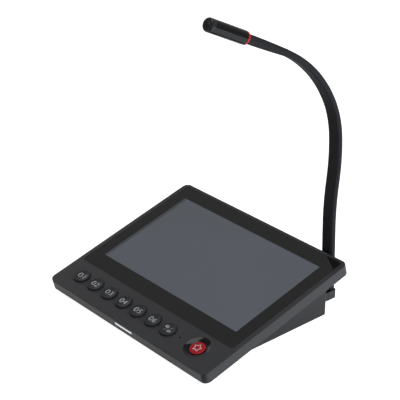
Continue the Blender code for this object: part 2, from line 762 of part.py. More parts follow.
def cut_floor(case, desk):
    """Recesses for the feet, and slots under the speaker."""
    for number, (x, y) in enumerate(foot_places(), start=1):
        recess = rod(FOOT_RADIUS + GAP, FOOT_STAND - OVERRUN, FOOT_STAND + FOOT_RECESS)
        cut(case, place(f"foot_recess_{number}", recess, desk, (x, y, 0)))
    for i in range(SLOT_COUNT):
        across = SPEAKER_ACROSS + (i - (SLOT_COUNT - 1) / 2) * SLOT_PITCH
        slot = block(
            SLOT_WIDTH, SLOT_LENGTH, FOOT_STAND - OVERRUN, FLOOR + OVERRUN, SLOT_WIDTH / 2 - GAP, 2
        )
        cut(case, place(f"speaker_slot_{i + 1}", slot, desk, (across, SPEAKER_BACK, 0)))


def rear_rod(radius, steps=HOLE_STEPS):
    """A cutter through the rear wall, along Y once it is turned."""
    return rod(radius, -OVERRUN, CASE_WALL + OVERRUN, steps)


def cut_rear_wall(case, desk):
    """Windows for the three sockets, the neck's lead and the bracket's screws."""
    inner = CASE_REAR - CASE_WALL
    wall_middle = CASE_REAR - CASE_WALL / 2
    ports = (
        ("network_window", NETWORK_ACROSS, NETWORK_WIDTH, NETWORK_HEIGHT),
        ("power_window", POWER_ACROSS, POWER_WIDTH, POWER_WIDTH),
        ("line_window", LINE_ACROSS, LINE_WIDTH, LINE_WIDTH),
    )
    for name, across, width, height in ports:
        window = block(
            width + 2 * GAP, CASE_WALL + 2 * OVERRUN, BOARD_TOP, BOARD_TOP + height + 2 * GAP
        )
        cut(case, place(name, window, desk, (across, wall_middle, 0)))
    turn = (-math.pi / 2, 0, 0)
    lead = rear_rod(LEAD_BORE_RADIUS)
    cut(case, place("lead_hole", lead, desk, (NECK_ACROSS, inner, LEAD_HEIGHT), turn))
    for number, across in enumerate(bracket_screw_places(), start=1):
        hole = rear_rod(SCREW_RADIUS + SCREW_CLEARANCE, SMALL_STEPS)
        spot = (across, inner, FOOT_STAND + (BRACKET_BOTTOM + BRACKET_TOP) / 2)
        cut(case, place(f"bracket_screw_hole_{number}", hole, desk, spot, turn))


def make_case(desk, panel):
    """The lower housing: a flange inside the cover's walls, with the wedge under it."""
    body = wedge(0.0, FOOT_STAND, PANEL_THICKNESS - CASE_FLANGE / 2)
    case = place("lower_case", body, desk, finish=BLACK_SHELL)
    room = COVER_WALL + GAP
    flange = block(
        PANEL_WIDTH - 2 * room,
        PANEL_DEPTH - 2 * room,
        -PANEL_THICKNESS,
        -PANEL_THICKNESS + CASE_FLANGE,
        PANEL_CORNER - room,
    )
    join(case, place("case_flange", flange, panel, (0, PANEL_DEPTH / 2, 0)))
    hollow_case(case, desk, panel)
    add_posts(case, desk)
    cut_floor(case, desk)
    cut_rear_wall(case, desk)
    for number, (x, y) in enumerate(case_screw_places(), start=1):
        low = -PANEL_THICKNESS - OVERRUN
        hole = pilot_rod(low, low + CASE_FLANGE + 2 * OVERRUN)
        cut(case, place(f"case_screw_hole_{number}", hole, panel, (x, y, 0)))
        place_screw = (x, y, -PANEL_THICKNESS - GAP)
        screw(f"case_screw_{number}", panel, place_screw, (0, 0, 0), CASE_SCREW_LENGTH)


def make_feet(desk):
    finish = ("foot_rubber", (0.015, 0.015, 0.015), 0.8, 0.0)
    top = FOOT_STAND + FOOT_RECESS - GAP
    profile = [(0.0, top), (FOOT_RADIUS, top), (FOOT_RADIUS, FOOT_EDGE)]
    profile += [(FOOT_RADIUS - FOOT_EDGE, 0.0), (0.0, 0.0)]
    for number, (x, y) in enumerate(foot_places(), start=1):
        smooth(turned(f"foot_{number}", profile, desk, finish, (x, y, 0), steps=HOLE_STEPS))


def make_speaker(desk):
    """A small round loudspeaker, face down over the slots, with its magnet on top."""
    low = FLOOR + GAP
    shoulder = low + SPEAKER_HEIGHT - MAGNET_HEIGHT
    profile = [
        (0.0, low + SPEAKER_HEIGHT),
        (MAGNET_RADIUS, low + SPEAKER_HEIGHT),
        (MAGNET_RADIUS, shoulder),
        (SPEAKER_RADIUS - SPEAKER_RIM, low + SPEAKER_RIM),
        (SPEAKER_RADIUS, low + SPEAKER_RIM),
        (SPEAKER_RADIUS, low),
        (SPEAKER_RADIUS - SPEAKER_RIM, low),
        (MAGNET_RADIUS * CONE_FLOOR_SHARE, shoulder - 2 * SPEAKER_RIM),
        (0.0, shoulder - 2 * SPEAKER_RIM),
    ]
    finish = ("speaker_black", (0.04, 0.04, 0.04), 0.5, 0.2)
    turned("speaker", profile, desk, finish, (SPEAKER_ACROSS, SPEAKER_BACK, 0))


def socket_box(name, across, width, height, depth, desk, finish):
    """A socket on the board, standing through its window to just inside the wall's face."""
    body = block(width, depth, BOARD_TOP + GAP, BOARD_TOP + GAP + height)
    spot = (across, CASE_REAR - GAP - depth / 2, 0)
    return place(name, body, desk, spot, finish=finish)


def make_board(desk):
    """The main board on four posts, with its sockets, a shield can and the neck's connector."""
    x, y = board_middle()
    board = block(BOARD_RIGHT - BOARD_LEFT, BOARD_DEPTH, BOARD_TOP - BOARD_THICKNESS, BOARD_TOP)
    finish = ("circuit_board", (0.02, 0.12, 0.05), 0.5, 0.0)
    board = place("main_board", board, desk, (x, y, 0), finish=finish)
    for number, (sx, sy) in enumerate(board_screw_places(), start=1):
        low = BOARD_TOP - BOARD_THICKNESS - OVERRUN
        hole = pilot_rod(low, BOARD_TOP + OVERRUN)
        cut(board, place(f"board_hole_{number}", hole, desk, (sx, sy, 0)))
        turn_over = (math.pi, 0, 0)
        spot = (sx, sy, BOARD_TOP + GAP)
        screw(f"board_screw_{number}", desk, spot, turn_over, BOARD_SCREW_LENGTH)
    shield = block(SHIELD_WIDTH, SHIELD_DEPTH, BOARD_TOP + GAP, BOARD_TOP + GAP + SHIELD_HEIGHT)
    round_level_edges(shield, BOARD_TOP + GAP + SHIELD_HEIGHT, SHIELD_EDGE, 1)
    finish = ("plated_steel", (0.5, 0.5, 0.5), 0.4, 1.0)
    spot = (BOARD_RIGHT - SHIELD_SIDE_INSET, BOARD_FRONT + SHIELD_FRONT_INSET, 0)
    place("shield_can", shield, desk, spot, finish=finish)


def make_sockets(desk):
    finish = ("socket_plastic", (0.02, 0.02, 0.02), 0.45, 0.0)
    metal = ("plated_steel", (0.5, 0.5, 0.5), 0.4, 1.0)
    network = socket_box(
        "network_jack", NETWORK_ACROSS, NETWORK_WIDTH, NETWORK_HEIGHT, NETWORK_DEPTH, desk, metal
    )
    middle = BOARD_TOP + GAP + NETWORK_HEIGHT / 2
    half = NETWORK_MOUTH_HEIGHT / 2
    mouth = block(
        NETWORK_MOUTH_WIDTH, NETWORK_MOUTH_DEPTH + OVERRUN, middle - half, middle + half
    )
    spot = (NETWORK_ACROSS, CASE_REAR - GAP + (OVERRUN - NETWORK_MOUTH_DEPTH) / 2, 0)
    cut(network, place("network_mouth", mouth, desk, spot))
    turn = (math.pi / 2, 0, 0)
    power = socket_box("power_jack", POWER_ACROSS, POWER_WIDTH, POWER_WIDTH, POWER_DEPTH, desk, finish)
    spot = (POWER_ACROSS, CASE_REAR - GAP, BOARD_TOP + GAP + POWER_WIDTH / 2)
    bore = rod(POWER_BORE_RADIUS, -OVERRUN, POWER_BORE_DEPTH)
    cut(power, place("power_bore", bore, desk, spot, turn))
    pin = rod(POWER_PIN_RADIUS, OVERRUN, POWER_BORE_DEPTH + OVERRUN, SMALL_STEPS)
    join(power, place("power_pin", pin, desk, spot, turn))
    line = socket_box("line_jack", LINE_ACROSS, LINE_WIDTH, LINE_WIDTH, LINE_DEPTH, desk, finish)
    spot = (LINE_ACROSS, CASE_REAR - GAP, BOARD_TOP + GAP + LINE_WIDTH / 2)
    bore = rod(LINE_BORE_RADIUS, -OVERRUN, LINE_BORE_DEPTH)
    cut(line, place("line_bore", bore, desk, spot, turn))


def smooth_route(corners):
    """Points read from a smooth curve that passes through each corner."""
    ends = [2 * corners[0] - corners[1]] + corners + [2 * corners[-1] - corners[-2]]
    points = []
    for before, first, second, after in zip(ends, ends[1:], ends[2:], ends[3:]):
        steps = max(1, round((second - first).length / (LEAD_POINT_DIAMETERS * 2 * LEAD_RADIUS)))
        for i in range(steps):
            t = i / steps
            slope_in = (second - before) / 2
            slope_out = (after - first) / 2
            points.append(
                first * (2 * t**3 - 3 * t**2 + 1)
                + slope_in * (t**3 - 2 * t**2 + t)
                + second * (3 * t**2 - 2 * t**3)
                + slope_out * (t**3 - t**2)
            )
    return points + [corners[-1]]


def lead_corners():
    """The microphone lead's way from the bracket's hollow to the connector on the board."""
    plug = BOARD_RIGHT - LEAD_BOARD_REACH
    behind = CASE_REAR - 3 * CASE_WALL
    low = BOARD_TOP + GAP + CONNECTOR_HEIGHT / 2
    middle_y = behind - 3 * CONNECTOR_SIDE / 2
    bend = 4 * LEAD_RADIUS
    start = NECK_BACK - NECK_THICKNESS / 2
    return [
        Vector((NECK_ACROSS, start, LEAD_HEIGHT)),
        Vector((NECK_ACROSS, BRACKET_SEAT, LEAD_HEIGHT)),
        Vector((NECK_ACROSS, behind, LEAD_HEIGHT)),
        Vector((NECK_ACROSS - 2 * bend, middle_y, (LEAD_HEIGHT + low) / 2)),
        Vector((plug + 2 * bend, middle_y, low)),
        Vector((plug + GAP, middle_y, low)),
    ]


def make_lead(desk):
    route = smooth_route(lead_corners())
    curve = bpy.data.curves.new("neck_lead", "CURVE")
    curve.dimensions = "3D"
    curve.bevel_depth = LEAD_RADIUS
    curve.bevel_resolution = 2
    curve.use_fill_caps = True
    spline = curve.splines.new("POLY")
    spline.points.add(len(route) - 1)
    for point, spot in zip(spline.points, route):
        point.co = (*spot, 1.0)
    lead = bpy.data.objects.new("neck_lead", curve)
    lead.parent = desk
    curve.materials.append(material("lead_rubber", (0.02, 0.02, 0.02), 0.6, 0.0))
    PARTS.objects.link(lead)
    end = route[-1]
    body = block(CONNECTOR_SIDE, CONNECTOR_SIDE, BOARD_TOP + GAP, BOARD_TOP + GAP + CONNECTOR_HEIGHT)
    finish = ("connector_plastic", (0.7, 0.68, 0.6), 0.5, 0.0)
    spot = (end.x - GAP - CONNECTOR_SIDE / 2, end.y, 0)
    place("neck_connector", body, desk, spot, finish=finish)


def make_bracket(desk):
    """The block behind the case that the neck stands on, with a slot for the neck's tenon."""
    low = FOOT_STAND + BRACKET_BOTTOM
    high = FOOT_STAND + BRACKET_TOP
    head = block(2 * BRACKET_HALF, BRACKET_BLOCK_DEPTH, low, high, BRACKET_EDGE, 2)
    spot = (NECK_ACROSS, BRACKET_BACK - BRACKET_BLOCK_DEPTH / 2, 0)
    bracket = place("neck_bracket", head, desk, spot, finish=BLACK_SHELL)
    arm_depth = BRACKET_BACK - BRACKET_BLOCK_DEPTH / 2 - BRACKET_SEAT
    arm = block(2 * BRACKET_HALF * BRACKET_ARM_SHARE, arm_depth, low, high)
    join(bracket, place("bracket_arm", arm, desk, (NECK_ACROSS, BRACKET_SEAT + arm_depth / 2, 0)))
    slot = block(
        TENON_WIDTH + 2 * GAP,
        TENON_DEPTH + 2 * GAP,
        high - TENON_LENGTH - 2 * LEAD_RADIUS,
        high + OVERRUN,
    )
    cut(bracket, place("tenon_slot", slot, desk, (NECK_ACROSS, NECK_BACK, 0)))
    turn = (-math.pi / 2, 0, 0)
    bore = rod(LEAD_BORE_RADIUS, -OVERRUN, NECK_BACK - BRACKET_SEAT)
    cut(bracket, place("bracket_bore", bore, desk, (NECK_ACROSS, BRACKET_SEAT, LEAD_HEIGHT), turn))
    for number, across in enumerate(bracket_screw_places(), start=1):
        level = FOOT_STAND + (BRACKET_BOTTOM + BRACKET_TOP) / 2
        pilot = pilot_rod(-OVERRUN, BRACKET_SCREW_LENGTH)
        cut(bracket, place(f"bracket_pilot_{number}", pilot, desk, (across, BRACKET_SEAT, level), turn))
        spot = (across, CASE_REAR - CASE_WALL - GAP, level)
        screw(f"bracket_screw_{number}", desk, spot, turn, BRACKET_SCREW_LENGTH)


def neck_station(distance):
    """The point on the neck's middle line at this distance from its foot, and the heading there.

    The heading is the angle in radians by which the line leans forward of straight up.
    """
    spot = NECK_FOOT.copy()
    heading = 0.0
    left = distance
    for index, (length, turn) in enumerate(zip(ARC_LENGTHS, NECK_TURNS)):
        last = index == len(NECK_TURNS) - 1
        run = left if last else min(left, length)
        bend = math.radians(turn) * run / length
        chord = run if not bend else 2 * run / bend * math.sin(bend / 2)
        middle = heading + bend / 2
        spot += Vector((0, -math.sin(middle), math.cos(middle))) * chord
        heading += bend
        left -= run
        if left <= 0:
            break
    return spot, heading


def station_matrix(distance):
    """Places a flat section: X across, Y through the neck, Z along it."""
    spot, heading = neck_station(distance)
    return Matrix.Translation(spot) @ Matrix.Rotation(heading, 4, "X")


def whole_depth():
    """From the panel's front edge to the rear-most point of the bracket or the neck."""
    stations = [neck_station(NECK_LENGTH * i / 100) for i in range(101)]
    backs = [spot.y + NECK_THICKNESS / 2 * math.cos(heading) for spot, heading in stations]
    return max(backs + [BRACKET_BACK])


def section_face(bm):
    """The neck's rounded rectangular section as one face at Z = 0."""
    outline = block(NECK_WIDTH, NECK_THICKNESS, 0.0, NECK_RING_STEP, NECK_CORNER, 2)
    top = max(outline.faces, key=lambda f: f.calc_center_median().z)
    points = [bm.verts.new((v.co.x, v.co.y, 0.0)) for v in top.verts]
    outline.free()
    return bm.faces.new(points)


def sweep(bm, face, places):
    """Draws a face out through a list of matrices, starting at the first."""
    rest = [v.co.copy() for v in face.verts]
    for vert, local in zip(face.verts, rest):
        vert.co = places[0] @ local
    for matrix in places[1:]:
        moved = bmesh.ops.extrude_face_region(bm, geom=[face])
        drawn = next(item for item in moved["geom"] if isinstance(item, bmesh.types.BMFace))
        if face.is_valid and face is not drawn:
            bm.faces.remove(face)
        face = drawn
        for vert, local in zip(face.verts, rest):
            vert.co = matrix @ local
    return face


def neck_bar(start, end):
    """A solid stretch of the neck. It may begin or end a little past a joint, to be cut to shape."""
    bm = bmesh.new()
    first = section_face(bm)
    first_copy = bmesh.ops.duplicate(bm, geom=[first])
    steps = max(1, math.ceil((end - start) / NECK_RING_STEP))
    places = [station_matrix(start + (end - start) * i / steps) for i in range(steps + 1)]
    sweep(bm, first, places)
    copied = next(item for item in first_copy["geom"] if isinstance(item, bmesh.types.BMFace))
    for vert in copied.verts:
        vert.co = places[0] @ vert.co
    bmesh.ops.remove_doubles(bm, verts=bm.verts, dist=GAP / 10)
    return bm


def joint_radius(kind):
    size = NECK_THICKNESS if kind == "F" else NECK_WIDTH
    return size / 2 - JOINT_INSET


def hollow_radius(kind):
    return joint_radius(kind) + (JOINT_CLEARANCE if kind == "F" else SIDE_JOINT_CLEARANCE)


def joint_drum(name, distance, kind, radius):
    """A cylinder on a joint's axis: across the neck for F, through it for S."""
    reach = max(NECK_WIDTH, NECK_THICKNESS) + OVERRUN
    drum = rod(radius, -reach, reach, FINE_STEPS)
    bmesh.ops.transform(drum, matrix=drum_turn(kind), verts=drum.verts)
    bmesh.ops.transform(drum, matrix=station_matrix(distance), verts=drum.verts)
    return place(name, drum, DESK)


def drum_turn(kind):
    if kind == "F":
        return Matrix.Rotation(math.pi / 2, 4, "Y")
    return Matrix.Rotation(math.pi / 2, 4, "X")


def end_cutter(number, distance, kind):
    """What is taken off below a link's joint, so that its end is left round."""
    radius = joint_radius(kind)
    reach = max(NECK_WIDTH, NECK_THICKNESS)
    box = block(2 * reach, 2 * reach, -2 * radius, 0.0)
    bmesh.ops.transform(box, matrix=station_matrix(distance), verts=box.verts)
    cutter = place(f"neck_end_{number}", box, DESK)
    cut(cutter, joint_drum(f"neck_drum_{number}", distance, kind, radius))
    return cutter


def joint_places():
    return [FIRST_JOINT + i * JOINT_STEP for i in range(len(NECK_JOINTS))]


def make_neck():
    """The foot in the bracket, then links with round ends that turn in the hollow end before."""
    joints = joint_places()
    ends = joints[1:] + [COLLAR_START]
    finish = ("neck_rubber", (0.024, 0.024, 0.025), 0.6, 0.0)
    foot = place("neck_foot", neck_bar(0.0, joints[0]), DESK, finish=finish)
    high = NECK_FOOT.z
    tenon = block(TENON_WIDTH, TENON_DEPTH, high - TENON_LENGTH, high + OVERRUN)
    join(foot, place("neck_tenon", tenon, DESK, (NECK_ACROSS, NECK_BACK, 0)))
    below = foot
    for number, (start, end, kind) in enumerate(zip(joints, ends, NECK_JOINTS), start=1):
        radius = joint_radius(kind)
        hollow = joint_drum(f"neck_hollow_{number}", start, kind, hollow_radius(kind))
        cut(below, hollow)
        spot, heading = neck_station(start)
        bar = neck_bar(start - radius - OVERRUN, end)
        bmesh.ops.translate(bar, vec=-spot, verts=bar.verts)
        link = place(f"neck_link_{number}", bar, DESK, spot, finish=finish)
        cut(link, end_cutter(number, start, kind))
        below = link


def collar_faces(bm):
    """The loft from the neck's flat section to the round ring."""
    outline = [v.co.copy() for v in section_face(bm).verts]
    bm.clear()
    count = len(outline)
    angles = [math.atan2(point.y / NECK_THICKNESS, point.x / NECK_WIDTH) for point in outline]
    loops = []
    for i in range(COLLAR_RINGS + 1):
        share = i / COLLAR_RINGS
        ease = math.sin(share * math.pi / 2)
        place_here = station_matrix(COLLAR_START + GAP + (COLLAR_LENGTH - 2 * GAP) * share)
        loop = []
        for point, angle in zip(outline, angles):
            circle = COLLAR_END_RADIUS * Vector((math.cos(angle), math.sin(angle), 0))
            loop.append(bm.verts.new(place_here @ point.lerp(circle, ease)))
        loops.append(loop)
    for low, high in zip(loops, loops[1:]):
        for i in range(count):
            j = (i + 1) % count
            bm.faces.new((low[i], low[j], high[j], high[i]))
    bm.faces.new(loops[0])
    bm.faces.new(loops[-1])


def make_head(head):
    """The collar, the light ring, the barrel with its open front, the front cap and the capsule."""
    bm = bmesh.new()
    collar_faces(bm)
    rubber = ("neck_rubber", (0.024, 0.024, 0.025), 0.6, 0.0)
    collar = place("head_collar", bm, DESK, finish=rubber)
    spigot = rod(SPIGOT_RADIUS, -OVERRUN - GAP, RING_LENGTH + SPIGOT_REACH)
    join(collar, place("head_spigot", spigot, head))
    smooth(collar, COLLAR_SMOOTH_ANGLE)
    bore = SPIGOT_RADIUS + GAP
    ring = [(bore, RING_LENGTH), (RING_RADIUS, RING_LENGTH), (RING_RADIUS, 0.0), (bore, 0.0)]
    glow = ("red_ring", (0.55, 0.05, 0.04), 0.3, 0.0)
    smooth(turned("light_ring", ring + ring[:1], head, glow))
    low = RING_LENGTH + GAP
    top = low + BARREL_LENGTH
    inner = BARREL_RADIUS - BARREL_WALL
    barrel = [
        (inner, top),
        (BARREL_RADIUS, top),
        (BARREL_RADIUS, low),
        (bore, low),
        (bore, low + BARREL_END_WALL),
        (inner, low + BARREL_END_WALL),
    ]
    mesh_black = ("barrel_mesh", (0.03, 0.03, 0.032), 0.45, 0.3)
    smooth(turned("head_barrel", barrel + barrel[:1], head, mesh_black))
    make_head_front(head, top, inner)


def make_head_front(head, top, inner):
    low = top + GAP
    high = low + CAP_LENGTH
    cap = [(CAP_BORE_RADIUS, high - CAP_MOUTH_DEPTH), (CAP_MOUTH_RADIUS, high)]
    cap += round_edge(BARREL_RADIUS - CAP_EDGE, high - CAP_EDGE, CAP_EDGE, 90, 0)
    cap += [
        (BARREL_RADIUS, low),
        (inner - GAP, low),
        (inner - GAP, low - BARREL_WALL),
        (CAP_BORE_RADIUS, low - BARREL_WALL),
    ]
    shiny = ("cap_plastic", (0.03, 0.03, 0.032), 0.3, 0.0)
    smooth(turned("head_cap", cap + cap[:1], head, shiny))
    back = low - BARREL_WALL - GAP
    capsule = [
        (0.0, back),
        (CAPSULE_RADIUS, back),
        (CAPSULE_RADIUS, back - CAPSULE_LENGTH),
        (0.0, back - CAPSULE_LENGTH),
    ]
    can = ("aluminium_can", (0.6, 0.6, 0.6), 0.35, 1.0)
    smooth(turned("head_capsule", capsule, head, can))


clear_scene()
PARTS = new_collection("paging_microphone")
CUTTERS = new_collection("cutters")
DESK = empty("desk_frame", None, (0, -whole_depth() / 2, 0))
PANEL = empty("panel_frame", DESK, (0, 0, PANEL_FRONT_TOP), (TILT, 0, 0))
ring_spot, ring_heading = neck_station(NECK_LENGTH)
HEAD = empty("head_frame", DESK, ring_spot, (ring_heading, 0, 0))
make_cover(PANEL)
make_screen(PANEL)
make_keys(PANEL)
make_emergency_button(PANEL)
make_switches(PANEL)
make_panel_details(PANEL)
make_case(DESK, PANEL)
make_feet(DESK)
make_speaker(DESK)
make_board(DESK)
make_sockets(DESK)
make_lead(DESK)
make_bracket(DESK)
make_neck()
make_head(HEAD)
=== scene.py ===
# %% [markdown]
# # A paging console with a gooseneck microphone
# The object is a black desk console. A tilted panel holds a screen, a row of round keys and
# a red emergency button, and a flat gooseneck behind it carries a slim microphone.
# Its solid model is loaded first and stays where it is. Each step below then gives one piece
# its fine shape or its finish.

import math

import bmesh
import bpy
from mathutils import Matrix, Vector


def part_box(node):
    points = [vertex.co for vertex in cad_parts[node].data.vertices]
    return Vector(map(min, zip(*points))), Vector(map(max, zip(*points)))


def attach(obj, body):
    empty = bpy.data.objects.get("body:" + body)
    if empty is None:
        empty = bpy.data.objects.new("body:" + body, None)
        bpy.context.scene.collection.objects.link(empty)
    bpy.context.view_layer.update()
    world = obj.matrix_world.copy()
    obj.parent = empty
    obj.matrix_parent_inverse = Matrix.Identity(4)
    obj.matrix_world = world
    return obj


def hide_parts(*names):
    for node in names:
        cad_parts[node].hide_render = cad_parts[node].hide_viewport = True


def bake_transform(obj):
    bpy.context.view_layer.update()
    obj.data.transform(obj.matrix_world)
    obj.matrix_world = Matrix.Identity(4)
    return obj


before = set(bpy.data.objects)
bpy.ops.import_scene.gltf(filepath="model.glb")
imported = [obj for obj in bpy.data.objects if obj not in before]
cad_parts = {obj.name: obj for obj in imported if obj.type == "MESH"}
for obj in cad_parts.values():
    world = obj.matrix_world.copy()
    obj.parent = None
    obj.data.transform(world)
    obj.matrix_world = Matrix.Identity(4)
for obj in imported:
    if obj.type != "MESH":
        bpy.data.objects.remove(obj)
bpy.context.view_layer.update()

# %% [markdown]
# ## The panel's own frame
# The panel leans back by 15 degrees, so everything on it is drawn flat, with X across, Y up
# the slope from the front edge and Z out of the top face. One matrix then lays it in place.
# The microphone head has a frame of its own too, with Z along its barrel.

# %% Frames of the panel and of the head
PANEL_WIDTH = 0.2655
PANEL_DEPTH = 0.2125
PANEL_THICKNESS = 0.0127
TILT = math.radians(15.0)
DESK_Y = -0.110303
PANEL_FRONT_TOP = 0.016267
DESK = Matrix.Translation((0, DESK_Y, 0))
PANEL = DESK @ Matrix.Translation((0, 0, PANEL_FRONT_TOP)) @ Matrix.Rotation(TILT, 4, "X")
GAP = 0.0003
OVERRUN = 0.001


def on_panel(across, along, up=0.0):
    """A matrix that puts a piece's origin at this place of the panel's top face."""
    return PANEL @ Matrix.Translation((across, along, up))


print("panel leans", round(math.degrees(TILT)), "degrees")

# %% [markdown]
# ## Colours and nodes
# Colours are written as they look on a screen, as sRGB hex values, and one function turns
# them into the linear light that a shader works in. A second small function adds a node,
# sets its values and links its inputs. The rest build on it: a mix of two colours, a value
# moved from one range to another, a sum, a cloudy pattern. So each material below reads as a
# short list.

# %% Helpers for materials


def colour(hex_value):
    """An sRGB hex colour as linear RGBA."""
    parts = [int(hex_value[i : i + 2], 16) / 255 for i in (1, 3, 5)]
    linear = [c / 12.92 if c <= 0.04045 else ((c + 0.055) / 1.055) ** 2.4 for c in parts]
    return (*linear, 1.0)


def add_node(material, kind, inputs=None, **settings):
    """Adds one node. An input given as a socket is linked, and any other value is set."""
    tree = material.node_tree
    node = tree.nodes.new(kind)
    for name, value in settings.items():
        setattr(node, name, value)
    for name, value in (inputs or {}).items():
        if isinstance(value, bpy.types.NodeSocket):
            tree.links.new(value, node.inputs[name])
        else:
            node.inputs[name].default_value = value
    return node


def new_material(name, roughness, metallic=0.0, **sockets):
    """A material with its Principled shader. The constants go on the shader's own sockets."""
    material = bpy.data.materials.new(name)
    material.use_nodes = True
    shader = material.node_tree.nodes["Principled BSDF"]
    shader.inputs["Roughness"].default_value = roughness
    shader.inputs["Metallic"].default_value = metallic
    for socket, value in sockets.items():
        shader.inputs[socket.replace("_", " ")].default_value = value
    return material, shader


def connect(material, source, target):
    """Links an output socket to an input socket."""
    material.node_tree.links.new(source, target)


def mixed(material, factor, first, second):
    """A colour between two colours or sockets, as the factor says."""
    inputs = {"Factor": factor, 6: first, 7: second}
    node = add_node(material, "ShaderNodeMix", inputs, data_type="RGBA")
    return node.outputs[2]


def ranged(material, value, low, high, new_low=0.0, new_high=1.0):
    """The value moved from one range to another, and held at the new range's ends."""
    inputs = {"Value": value, "From Min": low, "From Max": high}
    inputs.update({"To Min": new_low, "To Max": new_high})
    return add_node(material, "ShaderNodeMapRange", inputs).outputs["Result"]


def calculated(material, operation, *values):
    """The result of one sum on numbers or sockets."""
    node = add_node(material, "ShaderNodeMath", dict(enumerate(values)), operation=operation)
    return node.outputs["Value"]


def object_place(material):
    """Coordinates that stay with the piece, in metres from its origin."""
    return add_node(material, "ShaderNodeTexCoord").outputs["Object"]


def split(material, vector):
    """The X, Y and Z of a vector, as sockets."""
    return add_node(material, "ShaderNodeSeparateXYZ", {"Vector": vector}).outputs


def distance(material, vector):
    """How long a vector is."""
    node = add_node(material, "ShaderNodeVectorMath", {0: vector}, operation="LENGTH")
    return node.outputs["Value"]


def noise(material, place, scale, detail=2.0, roughness=0.5):
    """A cloudy pattern of values, with about this many clouds to the metre."""
    inputs = {"Vector": place, "Scale": scale, "Detail": detail, "Roughness": roughness}
    return add_node(material, "ShaderNodeTexNoise", inputs).outputs["Fac"]


# %% [markdown]
# ## Moulded plastic, rubber and metal
# Most of the console is ABS, moulded in a tool with a fine spark-eroded texture: grains of a
# few tenths of a millimetre that scatter light, over a very faint unevenness where a hand or
# the mould has polished the surface. The same recipe, with other sizes, gives rubber and
# plated steel. The pattern reads object coordinates, so it holds still as the piece moves.

# %% A material with a grain
PATCH_MM = 45
PATCH_GAIN = 1.12
PATCH_LIFT = 0.001
GRAIN_HEIGHT_SHARE = 0.2


def grained(name, base, roughness, grain_mm, depth, metallic=0.0, unevenness=0.06, **sockets):
    """A coloured surface with a fine grain and patches a little smoother or rougher."""
    material, shader = new_material(name, roughness, metallic, **sockets)
    place = object_place(material)
    grain = noise(material, place, 1000 / grain_mm, roughness=0.6)
    patches = noise(material, place, 1000 / PATCH_MM, detail=3.0)
    grain_height = grain_mm / 1000 * GRAIN_HEIGHT_SHARE
    bump = add_node(
        material, "ShaderNodeBump", {"Height": grain, "Strength": depth, "Distance": grain_height}
    )
    connect(material, bump.outputs["Normal"], shader.inputs["Normal"])
    rough = ranged(material, patches, 0.0, 1.0, roughness - unevenness, roughness + unevenness)
    connect(material, rough, shader.inputs["Roughness"])
    dark = colour(base)
    light = tuple(min(1.0, c * PATCH_GAIN + PATCH_LIFT) for c in dark[:3]) + (1.0,)
    connect(material, mixed(material, patches, dark, light), shader.inputs["Base Color"])
    return material


# The case under the panel is satin ABS too: a smooth grey in the light from the side.
case_abs = grained("moulded_case_abs", "#242426", 0.36, 0.45, 0.15, IOR=1.5)
# Key caps are a darker, smoother plastic, with a soft patch of light on their dished tops.
key_abs = grained("satin_key_abs", "#28282b", 0.28, 0.30, 0.04, IOR=1.5)
# A silicone rubber sleeve: matt, with a fine open grain and hardly any highlight.
neck_rubber = grained("silicone_rubber_sleeve", "#222225", 0.55, 0.6, 0.30, IOR=1.30)
foot_rubber = grained("foot_rubber", "#19191a", 0.8, 0.5, 0.4, IOR=1.5)
# Plated steel has a bright grain. Screws, tray and the network socket's shell are made of it.
zinc_steel = grained("zinc_plated_steel", "#b9babc", 0.34, 0.8, 0.10, 1.0)
can_aluminium = grained("aluminium_can", "#c4c5c7", 0.32, 0.5, 0.08, 1.0)
board_green = grained("green_solder_mask", "#1c5a34", 0.35, 1.6, 0.10, IOR=1.5)
socket_abs = grained("socket_plastic", "#1b1b1c", 0.42, 0.4, 0.15, IOR=1.5)
natural_nylon = grained("natural_nylon", "#d8d4c6", 0.5, 0.4, 0.10, IOR=1.53)
paper_black = grained("speaker_paper", "#232324", 0.85, 0.9, 0.5)
print("materials so far:", len(bpy.data.materials))

# %% [markdown]
# ## Camera
# The photograph looks down at the console from its front right, through a long lens that
# keeps the far edges nearly parallel to the near ones. The place, turn and lens were worked
# out from the panel's edges, with its screen taken to be a usual one of 10.1 inches.

# %% Camera at the photograph's angle
CAMERA_TURN = math.radians(48.961)
CAMERA_DOWN = math.radians(26.143)
CAMERA_PLACE = (0.98501, -0.85719, 0.76909)
FOCAL_PIXELS = 1351.0
IMAGE_WIDTH = 400
SENSOR_MM = 36.0
camera_data = bpy.data.cameras.new("camera")
camera_data.sensor_width = SENSOR_MM
camera_data.lens = FOCAL_PIXELS / IMAGE_WIDTH * SENSOR_MM
camera = bpy.data.objects.new("camera", camera_data)
camera.location = CAMERA_PLACE
camera.rotation_euler = (math.pi / 2 - CAMERA_DOWN, 0, CAMERA_TURN)
bpy.context.scene.collection.objects.link(camera)
bpy.context.scene.camera = camera
bpy.context.scene.view_settings.view_transform = "Standard"
print("lens", round(camera_data.lens, 1), "mm")
